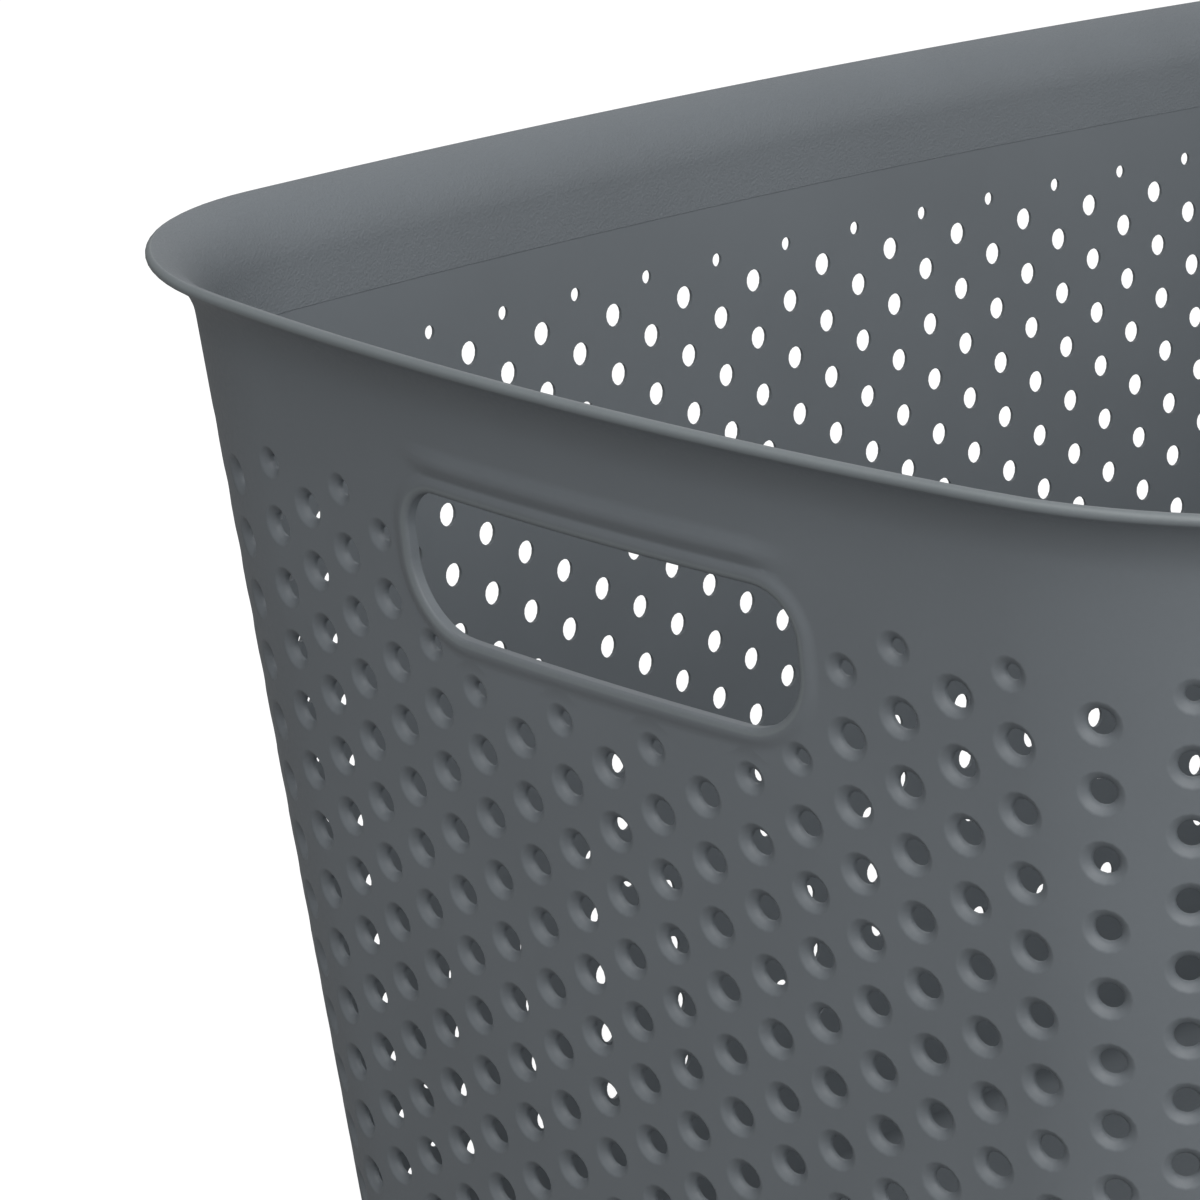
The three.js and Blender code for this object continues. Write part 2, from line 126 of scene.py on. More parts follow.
LEDGE_HIGH_MARGIN = 0.6 * MM
FLOOR_STEP = 12 * MM
FLOOR_MARGIN = 3 * MM

# The plastic: how rubbed edges are, their lighter colour being partly wear and partly a painted highlight, and
# the ranges and shares of the noise in its nodes
SATIN, GRAINED = 0, 1
MOUTH_RUB_AND_HIGHLIGHT = 0.25
RUB_AND_HIGHLIGHT_STEPS = 5
CLOUD_DETAIL, SPECK_DETAIL, WAVE_DETAIL = 3, 2, 1
SPECK_SHARE = 0.5
TONE_RANGE = (0.45, 1.05)
SPECK_RANGE = (0.3, 0.7)
UNEVENNESS = 0.04
MIXED_COLOUR = 2
CELL_SMOOTHNESS = 0.6
FINE_GRAIN = 2.5
FINE_GRAIN_SHARE = 0.35
IOR = 1.49


def setting(kind, name, description, value, scale=1, **limits):
    """A property of one of the groups."""
    return kind(name=name, description=description, default=value * scale, **limits)


mm = partial(setting, FloatProperty, scale=MM, min=0, precision=5, subtype="DISTANCE", unit="LENGTH")
turn = partial(setting, FloatProperty, scale=math.radians(1), subtype="ANGLE", unit="ROTATION")
share = partial(setting, FloatProperty, min=0, max=1, subtype="FACTOR")
number = partial(setting, FloatProperty, min=0)
count = partial(setting, IntProperty, min=1)
colour = partial(setting, FloatVectorProperty, size=3, min=0, max=1, subtype="COLOR")
spot = partial(setting, FloatVectorProperty, size=3, subtype="TRANSLATION")


class BasketForm(bpy.types.PropertyGroup):
    """Sizes of the moulding, apart from its holes and slots"""
    length: mm("Length", "Over the lip, end to end", CAD_SIZE.x / MM)
    width: mm("Width", "Over the lip, front to back", CAD_SIZE.y / MM)
    height: mm("Height", "From the ground to the top of the lip", CAD_SIZE.z / MM)
    wall: mm("Wall", "Thickness of the walls", 2)
    end_bow: mm("End bow", "Radius of the bowed end walls below the lip", 523)
    side_bow: mm("Side bow", "Radius of the bowed long walls below the lip", 1535)
    corner_radius: mm("Corner radius", "Radius of the round corners below the lip", 55)
    corner_taper: share("Corner taper", "Share of the draft that the corner radius loses", 0.7)
    end_draft: turn("End draft", "Lean of the end walls", 9.2)
    side_draft: turn("Side draft", "Lean of the long walls", 8)
    band_height: mm("Band", "Height of the grained band inside the lip", 20.2)
    flare_radius: mm("Flare", "Radius under the lip", 12)
    lip_rise: turn("Lip rise", "Upward tilt of the lip's edge", 20)
    seam_depth: mm("Seam depth", "Depth of the line under the grained band", 0.06)
    seam_height: mm("Seam height", "Height of that line", 0.15)
    foot_fillet: mm("Foot fillet", "Radius where the walls turn in to the foot", 7)
    foot_width: mm("Foot width", "Width of the flat that stands on the ground", 3)
    floor_fillet: mm("Floor fillet", "Radius between the floor and the walls inside", 5)
    floor_clearance: mm("Floor clearance", "Gap under the floor", 3)
    floor_thickness: mm("Floor thickness", "Thickness of the floor", 2.2)


class BasketHoles(bpy.types.PropertyGroup):
    """The staggered pattern of funnel-shaped holes"""
    column_pitch: mm("Column pitch", "From one column of holes to the next on the walls", 10.1)
    end_columns: count("End columns", "Columns from the middle of an end wall to its corner", 8)
    side_columns: count("Side columns", "Columns from the middle of a long wall to its corner", 12)
    corner_gaps: count("Corner gaps", "Gaps between columns round a corner", 6)
    row_step: mm("Row step", "Drop from a hole to its neighbour in the next column", 5.65)
    rows: count("Rows", "Holes in one column", 14)
    top_row_drop: mm("Top row drop", "From the top of the lip to the top row", 30.5)
    seam_share: share("Seam share", "Least share of the pitch between a hole and its region's edge", 0.03)
    mouth: mm("Mouth radius", "Radius where the dish starts on the outer face", 3.9)
    bore: mm("Bore radius", "Radius of the hole through the wall", 2.2)
    small_mouth: mm("Small mouth radius", "Mouth of the holes in the top row and by the slots", 3.2)
    small_bore: mm("Small bore radius", "Bore of those holes", 1.3)
    dish_depth: mm("Dish depth", "Depth of the dish, before the straight bore", 1.6)
    start_power: number("Start power", "How softly the dish starts from the wall", 1.05)
    end_power: share("End power", "How suddenly the dish turns into the bore", 0.6)
    sides: count("Sides", "Points round a hole", 16)


class BasketGrip(bpy.types.PropertyGroup):
    """The grip slots with their bead and ledge"""
    slot_width: mm("Slot width", "Across the slot", 85)
    slot_height: mm("Slot height", "Height of the slot", 24.4)
    above_top_row: mm("Slot top", "From the top row of holes to the slot's top edge", 5)
    top_radius: mm("Top radius", "Radius of the slot's upper corners", 8)
    bottom_radius: mm("Bottom radius", "Radius of the slot's lower corners", 12)
    border: mm("Border", "Least distance from the slot to the middle of a hole", 4.5)
    small_zone: mm("Small hole zone", "Distance from the slot in which holes are small", 9)
    bead_crest: mm("Bead crest", "From the slot's edge to the crest of the bead", 1.4)
    bead_height: mm("Bead height", "Height of the bead", 0.5)
    bead_fall: mm("Bead fall", "Width of the bead's outer slope", 2.4)
    collar: mm("Collar", "Width of the fine strip of faces round the bead's crest", 1.3)
    bead_root: mm("Bead root", "Depth at which the bead's inner side starts", 0.3)
    inner_round: mm("Inner round", "Radius of the slot's inner edge", 0.4)
    ledge_groove: mm("Ledge groove", "From the slot's top edge to the groove under the ledge", 2.5)
    ledge_crest: mm("Ledge crest", "From the slot's top edge to the ledge's crest", 5.4)
    ledge_top: mm("Ledge top", "From the slot's top edge to where the ledge ends", 8.6)
    ledge_height: mm("Ledge height", "Height of the ledge", 0.85)
    ledge_fade: mm("Ledge fade", "Length over which the ledge fades at each end", 9)


class BasketFinish(bpy.types.PropertyGroup):
    """The look of the moulded plastic"""
    slate: colour("Slate", "Colour of the plastic", (0.134, 0.150, 0.164))
    # Lighter colour for the lip's edge, the slot's bead and the hole mouths: partly wear from handling, partly
    # a painted highlight on these crests
    rubbed_and_highlit: colour("Rubbed slate", "Colour of handled edges", (0.165, 0.186, 0.194))
    mottle_size: mm("Mottle size", "Size of the soft clouds in the colour", 35)
    mottle: share("Mottle", "Strength of the clouds", 0.05)
    speck_size: mm("Speck size", "Size of the fine specks", 0.9)
    satin_roughness: share("Satin roughness", "Roughness of the smooth walls", 0.5)
    grained_roughness: share("Grained roughness", "Roughness of the grained band", 0.6)
    rub: share("Rub", "How much smoother handled edges are", 0.1)
    tool_mark_size: mm("Tool mark size", "Size of the faint waves left by the mould", 2.2)
    tool_mark_depth: mm("Tool mark depth", "Height of these waves", 0.004)
    grain_size: mm("Grain size", "Size of the grain's cells", 0.5)
    grain_depth: mm("Grain depth", "Height of the grain", 0.085)


class BasketStudio(bpy.types.PropertyGroup):
    """Floor, light and camera"""
    floor_tone: colour("Floor", "Colour of the floor", (0.3, 0.3, 0.3))
    floor_reach: mm("Floor reach", "Half the width of the floor", 40000)
    floor_glow: number("Floor glow", "Light added to the floor for the camera alone", 0.85)
    sky: number("Sky", "Strength of the even light from all round", 0.31)
    softbox_size: mm("Softbox size", "Width of each softbox", 1800)
    key_power: number("Key power", "Watts of the softbox behind the camera", 20)
    key_place: spot("Key place", "Middle of that softbox", (-1.135, -1.353, 1.05))
    left_power: number("Left power", "Watts of the high softbox to the left of the camera", 19)
    left_place: spot("Left place", "Middle of that softbox", (-1.00, 0, 1.84))
    low_power: number("Low power", "Watts of the low softbox to the right of the camera", 12)
    low_place: spot("Low place", "Middle of that softbox", (-0.492, -1.837, 0.73))
    side_power: number("Side power", "Watts of the softbox far to the right of the camera", 9)
    side_place: spot("Side place", "Middle of that softbox", (1.113, -1.327, 1.11))
    back_power: number("Back power", "Watts of the softbox behind the basket", 7.5)
    back_place: spot("Back place", "Middle of that softbox", (1.24, 0.90, 1.40))
    camera_place: spot("Camera place", "Where the camera stands", (-0.73145, -0.53305, 0.4225))
    camera_heading: turn("Camera heading", "Turn from looking along +Y, anticlockwise from above", -45.703)
    camera_tilt: turn("Camera tilt", "Below the horizon", 17.021)
    camera_roll: turn("Camera roll", "Turn about the line of sight", 0.441)
    camera_lens: number("Camera lens", "Focal length in millimetres on a 36 mm sensor", 153.14)


def smooth(value):
    """Goes softly from 0 to 1."""
    value = np.clip(value, 0, 1)
    return value * value * (3 - 2 * value)


def unit(vectors):
    """The vectors brought to length 1."""
    return vectors / np.linalg.norm(vectors, axis=-1, keepdims=True)


def arc_steps(start, end, steps):
    """Even steps from a start to an end, both included."""
    return [start + (end - start) * step / steps for step in range(steps + 1)]


def line(columns, heights):
    """Flat points from columns and heights, either of which may be one number."""
    return np.stack(np.broadcast_arrays(columns, heights), axis=-1)


def lattice(columns, heights):
    """Flat points at every crossing of columns and heights."""
    return line(columns[:, None], heights).reshape(-1, 2)


class Plan:
    """Where every place on the moulding lies, worked out from the sizes, and the finishes it gets."""

    def __init__(self, scene):
        form, holes, grip, look, _ = (getattr(scene, name) for name in SETTINGS)
        self.form, self.holes, self.grip = form, holes, grip
        self.wall, self.pitch = form.wall, holes.column_pitch
        self.ends, self.gaps, self.sides = holes.end_columns, holes.corner_gaps, holes.side_columns
        self.quarter = self.ends + self.gaps + self.sides
        self.draft = (form.end_draft + form.side_draft) / 2
        self.lip_turn = math.pi / 2 - form.lip_rise
        self.lip_radius = form.wall / 2
        path = form.flare_radius + self.lip_radius
        lip_drop = self.lip_radius + path * math.sin(self.lip_turn) - form.flare_radius * math.sin(self.draft)
        self.flare_level = form.height - lip_drop
        inset = form.flare_radius * math.cos(self.draft) - path * math.cos(self.lip_turn)
        self.lip_reach = inset + self.lip_radius
        self.seam = form.height - form.band_height
        self.top_row = form.height - holes.top_row_drop
        self.slot_top = self.top_row + grip.above_top_row
        self.floor_level = form.floor_clearance + form.floor_thickness
        self.wall_foot = max(form.foot_fillet, self.floor_level + form.floor_fillet)
        self.foot_back = max(form.foot_fillet, form.wall + form.floor_fillet) + form.foot_width
        self.finishes = [
            plastic(look, "satin_polypropylene", look.satin_roughness),
            plastic(look, "grained_polypropylene", look.grained_roughness, has_grain=True),
        ]

    def row_level(self, half_rows):
        """Height of a place counted in half rows down from the top row."""
        return self.top_row - half_rows * self.holes.row_step

    def wall_runs(self):
        """Stations of the four walls, by side."""
        runs = {}
        for side, turns in WALL_TURNS.items():
            middle = turns * self.quarter
            reach = (self.sides if turns % 2 else self.ends) + HALF_COLUMN
            runs[side] = np.arange(middle - reach, middle + reach + WALL_STEP / 2, WALL_STEP)
        return runs

    def corner_runs(self):
        """Stations of the two halves of each corner, named by the corner and the wall that each joins."""
        start = self.ends + HALF_COLUMN
        split = start + math.ceil(self.gaps / 2)
        half = 2 * self.quarter
        runs = {}
        for quarter, corner in enumerate(CORNERS):
            for joined, low, high in (("end", start, split), ("side", split, start + self.gaps - 1)):
                stations = np.arange(low, high + CORNER_STEP / 2, CORNER_STEP)
                if quarter % 2:
                    stations = (half - stations)[::-1]
                runs[f"corner_{corner}_{joined}"] = stations + half * (quarter // 2)
        return runs

    def arcs(self, level):
        """Centres, radii and turning angles of the three arcs in a quarter of the outline at each level."""
        form = self.form
        drop = self.flare_level - np.asarray(level, dtype=float)
        end_shrink, side_shrink = (drop * math.tan(draft) for draft in (form.end_draft, form.side_draft))
        end, side = form.end_bow - end_shrink, form.side_bow - side_shrink
        corner = form.corner_radius - drop * form.corner_taper * math.tan(self.draft)
        end_x = end - (form.length / 2 - self.lip_reach - end_shrink)
        side_y = form.width / 2 - self.lip_reach - side_shrink - side
        # The corner arc lies inside both bows, so its centre is where two circles cross
        end_reach, side_reach = end - corner, side - corner
        apart = np.hypot(end_x, side_y)
        along = (end_reach ** 2 - side_reach ** 2 + apart ** 2) / (2 * apart)
        across = np.sqrt(end_reach ** 2 - along ** 2)
        x = end_x - along * end_x / apart + across * side_y / apart
        y = along * side_y / apart + across * end_x / apart
        zero = np.zeros_like(drop)
        starts = [zero, np.arctan2(y, end_x - x), np.arctan2(y - side_y, -x), zero + math.pi / 2]
        return (np.stack(part) for part in ([end_x, x, zero], [zero, y, side_y], [end, corner, side], starts))

    def fold(self, column):
        """Each column brought into the first quarter, with the signs that take it back."""
        half = 2 * self.quarter
        in_half = np.mod(column, half)
        turned = column / half * math.pi
        sign_x, sign_y = (np.where(wave(turned) > 0, 1.0, -1.0) for wave in (np.cos, np.sin))
        return np.minimum(in_half, half - in_half), sign_x, sign_y

    def arc_length(self, folded, lengths):
        """How far along the quarter outline a column stands: at its pitch on the walls, and sharing what is
        left round the corner."""
        total = lengths.sum(axis=0)
        start = self.ends * self.pitch
        end = total - self.sides * self.pitch
        into = (folded - self.ends) / self.gaps
        on_side = total - (self.quarter - folded) * self.pitch
        beyond = np.where(into < 1, start + into * (end - start), on_side)
        return np.where(into <= 0, folded * self.pitch, beyond)

    def on_outline(self, column, level):
        """Centre, radius and heading of the arc at each column and level, with the local lean of the wall."""
        folded, sign_x, sign_y = self.fold(column)
        centres_x, centres_y, radii, starts = self.arcs(level)
        lengths = radii * np.diff(starts, axis=0)
        left = self.arc_length(folded, lengths)
        reached = np.cumsum(lengths, axis=0)[:2]
        index = (left > reached).sum(axis=0)

        def pick(values):
            return np.take_along_axis(values, index[None], axis=0)[0]

        radius = pick(radii)
        heading = pick(starts[:3]) + (left - pick(np.stack([0 * left, *reached]))) / radius
        above, below = ([pick(part) for part in list(self.arcs(level + nudge))[:3]]
                        for nudge in (LEVEL_NUDGE, -LEVEL_NUDGE))
        grow_x, grow_y, grow = ((high - low) / (2 * LEVEL_NUDGE) for high, low in zip(above, below))
        lean = grow - grow_x * np.cos(heading) + grow_y * np.sin(heading)
        return pick(centres_x), pick(centres_y), radius, heading, sign_x, sign_y, lean

    def place(self, column, level, depth, height):
        """Points at a depth behind the outline that stands at a level, with the outward direction there."""
        column, level, depth, height = np.broadcast_arrays(column, level, depth, height)
        x, y, radius, heading, sign_x, sign_y, lean = self.on_outline(column, level)
        out_x, out_y = -sign_x * np.cos(heading), sign_y * np.sin(heading)
        reach = radius - depth
        points = np.stack([sign_x * x + reach * out_x, sign_y * y + reach * out_y, height], axis=-1)
        return points, np.stack([out_x, out_y, np.zeros_like(out_x)], axis=-1), lean

    def wall_axes(self, column, height):
        """Unit vectors of the leaning wall: outward, along its columns and up its slope."""
        _, outward, lean = self.place(column, height, 0.0, height)
        normal = unit(outward - UP * lean[..., None])
        along = np.stack([outward[..., 1], -outward[..., 0], np.zeros_like(lean)], axis=-1)
        return normal, along, np.cross(along, normal)

    def beside(self, column, level, across):
        """The place, in columns, that lies a length along the wall from a column."""
        folded, _, _ = self.fold(column)
        onward = np.where(np.mod(column, 2 * self.quarter) < self.quarter, 1.0, -1.0)
        _, _, radii, starts = self.arcs(level)
        lengths = radii * np.diff(starts, axis=0)
        total = lengths.sum(axis=0)
        start = self.ends * self.pitch
        reached = self.arc_length(folded, lengths) + onward * across
        into = (reached - start) / (total - self.sides * self.pitch - start)
        on_side = self.quarter - (total - reached) / self.pitch
        there = np.where(into < 1, self.ends + into * self.gaps, on_side)
        return column + onward * (np.where(into <= 0, reached / self.pitch, there) - folded)

    def from_slot(self, column, height):
        """Distance from the edge of the nearest slot, and the place across it and up from its top edge."""
        grip = self.grip
        across = (np.mod(column + self.quarter, 2 * self.quarter) - self.quarter) * self.pitch
        middle = self.slot_top - grip.slot_height / 2
        radius = np.where(height > middle, grip.top_radius, grip.bottom_radius)
        beyond_side = np.abs(across) - (grip.slot_width / 2 - radius)
        beyond_end = np.abs(height - middle) - (grip.slot_height / 2 - radius)
        outside = np.hypot(np.maximum(beyond_side, 0), np.maximum(beyond_end, 0))
        gap = outside + np.minimum(np.maximum(beyond_side, beyond_end), 0) - radius
        return gap, across, height - self.slot_top

    def relief(self, column, height):
        """How far the outer face stands proud of the plain wall: a slot's bead and the ledge over it."""
        grip = self.grip
        gap, across, above = self.from_slot(column, height)
        fall = np.clip((gap - grip.bead_crest) / grip.bead_fall, 0, 1)
        bead = grip.bead_height * (1 + np.cos(math.pi * fall)) / 2
        rise = smooth((above - grip.ledge_groove) / (grip.ledge_crest - grip.ledge_groove))
        drop = 1 - smooth((above - grip.ledge_crest) / (grip.ledge_top - grip.ledge_crest))
        ends = smooth((grip.slot_width / 2 - np.abs(across)) / grip.ledge_fade)
        return np.maximum(bead, grip.ledge_height * rise * drop * ends)

    def outer_face(self, column, height):
        """Points and normals of the outer face, relief included."""
        column, height = np.broadcast_arrays(column, height)
        points, _, _ = self.place(column, height, -self.relief(column, height), height)
        normal, along, up = self.wall_axes(column, height)
        shift, steep = RELIEF_NUDGE / self.pitch, 2 * RELIEF_NUDGE
        by_column = self.relief(column + shift, height) - self.relief(column - shift, height)
        by_height = self.relief(column, height + RELIEF_NUDGE) - self.relief(column, height - RELIEF_NUDGE)
        across, upward = along * (by_column / steep)[..., None], up * (by_height / steep)[..., None]
        return points, unit(normal - across - upward)

    def inner_face(self, column, height):
        """Points and normals of the inner face."""
        points, _, _ = self.place(column, height, self.wall, height)
        return points, -self.wall_axes(column, height)[0]


def new_object(name, data):
    """Adds an object to the scene."""
    made = bpy.data.objects.new(name, data)
    bpy.context.scene.collection.objects.link(made)
    return made


def triangulate(loops, extra=np.empty((0, 2))):
    """Triangles inside the first loop and outside the others, as indices into all the points in turn."""
    points = np.concatenate([*loops, extra])
    owner = np.full(len(points), -1)
    edges = []
    start = 0
    for order, loop in enumerate(loops):
        size = len(loop)
        edges += [(start + index, start + (index + 1) % size) for index in range(size)]
        owner[start:start + size] = order
        start += size
    result = delaunay_2d_cdt([Vector(point) for point in points], edges, [], CDT_INSIDE, CDT_EPSILON)
    source = np.array([origin[0] for origin in result[3]])
    triangles = source[np.array(result[2])]
    owners = owner[triangles]
    in_hole = (owners[:, 0] > 0) & (np.ptp(owners, axis=1) == 0)
    return triangles[~in_hole]


def quads(rows, columns, closed=False):
    """Corners of the faces between rows of points."""
    row, column = np.indices((rows - 1, columns if closed else columns - 1))
    near, far, after = row * columns, (row + 1) * columns, (column + 1) % columns
    return np.stack([near + column, near + after, far + after, far + column], axis=-1).reshape(-1, 4)


class Skin:
    """Gathers the faces of one closed piece, each corner with its own normal."""

    def __init__(self, plan, node):
        self.plan, self.node = plan, node
        self.patches = []
        self.total = 0

    def add(self, points, normals, faces, finish=SATIN, rub=0.0):
        """Adds a smooth patch. Faces are turned to agree with the normals."""
        normals = np.broadcast_to(normals, points.shape).reshape(-1, 3)
        rub = np.broadcast_to(rub, points.shape[:-1]).reshape(-1)
        points = points.reshape(-1, 3)
        corners = points[faces]
        crossing = np.cross(corners[:, 2] - corners[:, 0], corners[:, -1] - corners[:, 1])
        wrong = np.einsum("ij,ij->i", crossing, normals[faces].sum(axis=1)) < 0
        faces = np.where(wrong[:, None], faces[:, ::-1], faces)
        self.patches.append((points, normals, rub, faces + self.total, np.full(len(faces), finish)))
        self.total += len(points)

    def grid(self, points, normals, finish=SATIN, rub=0.0, closed=False):
        """Adds a patch of quads between rows of points."""
        self.add(points, normals, quads(*points.shape[:2], closed), finish, rub)

    def sweep(self, stations, rows, finish=SATIN, rub=0.0):
        """Draws a run of a cross-section along the stations. Its rows hold level, depth, height, and how far
        the normal turns out and up."""
        level, depth, height, out, up = np.array(rows, dtype=float).T
        points, outward, _ = self.plan.place(stations[:, None], level, depth, height)
        self.grid(points, outward * out[:, None] + UP * up[:, None], finish, rub)

    def add_edge(self, columns, heights, facing):
        """Adds the narrow face through the wall along a run of its border."""
        faces = (self.plan.outer_face, self.plan.inner_face)
        self.grid(np.stack([face(columns, heights)[0] for face in faces]), facing)

    def add_caps(self, stations, outline):
        """Adds the cut faces of a cross-section at both ends of a run."""
        level, depth, height = np.array(outline).T
        triangles = triangulate([line(-depth, height) * FLAT_SCALE])
        for station, side in ((stations[0], -1), (stations[-1], 1)):
            points, outward, _ = self.plan.place(station, level, depth, height)
            self.add(points, side * np.array([outward[0, 1], -outward[0, 0], 0]), triangles)

    def add_plate(self, face, border, holes, ring, extra, slots=()):
        """Adds one face of a pierced region: inside its border, outside its holes and slots."""
        loops = [border, *slots, *holes.ring(ring)]
        scale = np.array([self.plan.pitch, 1]) * FLAT_SCALE
        triangles = triangulate([loop * scale for loop in loops], extra * scale)
        self.add(*face(*np.concatenate([*loops, extra]).T), triangles)

    def settle(self):
        """Makes the piece, with its shared points merged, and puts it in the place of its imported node."""
        points, normals, rubs_and_highlights, faces, finishes = zip(*self.patches)
        points, normals, rubs_and_highlights = map(np.concatenate, (points, normals, rubs_and_highlights))
        sizes = np.concatenate([np.full(len(patch), patch.shape[1]) for patch in faces])
        corners = np.concatenate([patch.reshape(-1) for patch in faces])
        keys = np.round(points[corners] / WELD).astype(np.int64)
        _, first, joined = np.unique(keys, axis=0, return_index=True, return_inverse=True)
        first = corners[first]
        mesh = bpy.data.meshes.new(PIECE_PREFIX + self.node)
        mesh.vertices.add(len(first))
        mesh.vertices.foreach_set("co", points[first].reshape(-1))
        mesh.loops.add(len(corners))
        mesh.loops.foreach_set("vertex_index", joined.reshape(-1))
        mesh.polygons.add(len(sizes))
        mesh.polygons.foreach_set("loop_start", np.concatenate([[0], np.cumsum(sizes)[:-1]]))
        mesh.polygons.foreach_set("material_index", np.concatenate(finishes))
        mesh.update(calc_edges=True)
        # Each point's share of the lighter edge colour, partly wear and partly a painted highlight, and of the
        # smoother finish
        mesh.attributes.new("rub", "FLOAT", "POINT").data.foreach_set("value", rubs_and_highlights[first])
        mesh.normals_split_custom_set(normals[corners].tolist())
        for finish in self.plan.finishes:
            mesh.materials.append(finish)
        piece = new_object(mesh.name, mesh)
        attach(piece, "root")
        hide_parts(self.node)


class Value:
    """The output of a node. Sums on it add the nodes that they need."""

    def __init__(self, socket):
        self.socket, self.tree = socket, socket.id_data

    def math(self, operation, *others):
        """The result of a Math node on this value and others."""
        return add_node(self.tree, "ShaderNodeMath", (self, *others), operation=operation)

    def __rsub__(self, other):
        return add_node(self.tree, "ShaderNodeMath", (other, self), operation="SUBTRACT")

    __add__ = partialmethod(math, "ADD")
    __sub__ = partialmethod(math, "SUBTRACT")
    __mul__ = partialmethod(math, "MULTIPLY")
    __truediv__ = partialmethod(math, "DIVIDE")
    __pow__ = partialmethod(math, "POWER")


def add_node(tree, kind, inputs=(), output=0, **settings):
    """Adds a node, sets its properties, fills or links its inputs by place or identifier, and gives one
    output."""
    node = tree.nodes.new(kind)
    for name, value in settings.items():
        setattr(node, name, value)
    sockets = {socket.identifier: socket for socket in node.inputs}
    if not isinstance(inputs, dict):
        inputs = dict(zip(sockets, inputs))
    for key, value in inputs.items():
        if isinstance(value, Value):
            tree.links.new(value.socket, sockets[key])
        else:
            sockets[key].default_value = value
    return Value(node.outputs[output]) if len(node.outputs) else None


def empty_tree(owner):
    """The cleared node tree of a material or a world."""
    owner.use_nodes = True
    owner.node_tree.nodes.clear()
    return owner.node_tree


def dish_funnel(tree, mouth, bore, given):
    """One funnel: a cone whose rings, closer together as they narrow, are moved into a soft dish that turns
    into a short straight bore."""
    segments = HOLE_RINGS - 1
    wall, depth = given.wall, given.dish_depth
    cone = add_node(tree, "GeometryNodeMeshCone", {
        "Vertices": given.sides, "Side Segments": segments, "Radius Top": bore, "Radius Bottom": mouth,
        "Depth": wall}, fill_type="NONE")
    at = add_node(tree, "GeometryNodeInputPosition")
    step = add_node(tree, "ShaderNodeSeparateXYZ", [at], "Z") / wall * segments
    left = 1 - (step / (segments - 1)).math("MINIMUM", 1)
    narrowed = 1 - left * left
    radius = (bore - mouth).math("MULTIPLY_ADD", narrowed, mouth)
    sunk = 1 - (1 - narrowed ** given.start_power) ** given.end_power
    is_back = step.math("GREATER_THAN", segments - 0.5)
    back = add_node(tree, "ShaderNodeCombineXYZ", {"Z": depth * sunk + is_back * (wall - depth)})
    flat = add_node(tree, "ShaderNodeVectorMath", [at, (1, 1, 0)], operation="MULTIPLY")
    away = add_node(tree, "ShaderNodeVectorMath", [flat], operation="NORMALIZE")
    ring = add_node(tree, "ShaderNodeVectorMath", {"Vector": away, "Scale": radius}, operation="SCALE")
    moved = add_node(tree, "ShaderNodeVectorMath", [ring, back], operation="ADD")
    return add_node(tree, "GeometryNodeSetPosition", {"Geometry": cone, "Position": moved})


def slot_gap(column, height, given):
    """Distance from a hole's middle to the nearest slot, in nodes."""
    quarter, bottom_radius = given.quarter, given.bottom_radius
    across = ((column + quarter).math("FLOORED_MODULO", quarter * 2) - quarter) * given.column_pitch
    half_height = given.slot_height * 0.5
    middle = given.slot_top - half_height
    is_upper = height.math("GREATER_THAN", middle)
    radius = is_upper.math("MULTIPLY_ADD", given.top_radius - bottom_radius, bottom_radius)
    beyond_side = across.math("ABSOLUTE") - (given.slot_width * 0.5 - radius)
    beyond_end = (height - middle).math("ABSOLUTE") - (half_height - radius)
    outside = beyond_side.math("MAXIMUM", 0) ** 2 + beyond_end.math("MAXIMUM", 0) ** 2
    inside = beyond_side.math("MAXIMUM", beyond_end).math("MINIMUM", 0)
    return outside.math("SQRT") + inside - radius


def hole_tree(values):
    """A geometry tree that lays out every funnel flat: columns along X, height along Y, depth along Z."""
    tree = bpy.data.node_groups.new("punched_pattern", "GeometryNodeTree")
    kinds = {int: "NodeSocketInt", float: "NodeSocketFloat"}
    for name, value in values.items():
        kind = kinds.get(type(value), "NodeSocketMaterial")
        tree.interface.new_socket(name, in_out="INPUT", socket_type=kind)
    tree.interface.new_socket("Geometry", in_out="OUTPUT", socket_type="NodeSocketGeometry")
    outputs = tree.nodes.new("NodeGroupInput").outputs
    given = SimpleNamespace(**{name: Value(outputs[name]) for name in values})
    index = add_node(tree, "GeometryNodeInputIndex")
    column = (index / given.rows).math("FLOOR")
    in_column = index - column * given.rows
    row = in_column.math("MULTIPLY_ADD", 2, column.math("MODULO", 2))
    height = given.top_row - row * given.row_step
    at = add_node(tree, "ShaderNodeCombineXYZ", {"X": column * given.column_pitch, "Y": height})
    total = given.quarter * 4 * given.rows
    points = add_node(tree, "GeometryNodePoints", {"Count": total, "Position": at})
    gap = slot_gap(column, height, given)
    is_clear = gap.math("GREATER_THAN", given.border)
    is_small = row.math("LESS_THAN", 0.5).math("MAXIMUM", gap.math("LESS_THAN", given.small_zone))
    join = tree.nodes.new("GeometryNodeJoinGeometry")
    small, large = (is_small, given.small_mouth, given.small_bore), (1 - is_small, given.mouth, given.bore)
    for is_kind, mouth, bore in (small, large):
        funnel = dish_funnel(tree, mouth, bore, given)
        funnels = add_node(tree, "GeometryNodeInstanceOnPoints", {
            "Points": points, "Selection": is_kind * is_clear, "Instance": funnel})
        tree.links.new(funnels.socket, join.inputs[0])
    real = add_node(tree, "GeometryNodeRealizeInstances", [Value(join.outputs[0])])
    coated = add_node(tree, "GeometryNodeSetMaterial", {"Geometry": real, "Material": given.finish})
    add_node(tree, "NodeGroupOutput", [coated])
    return tree


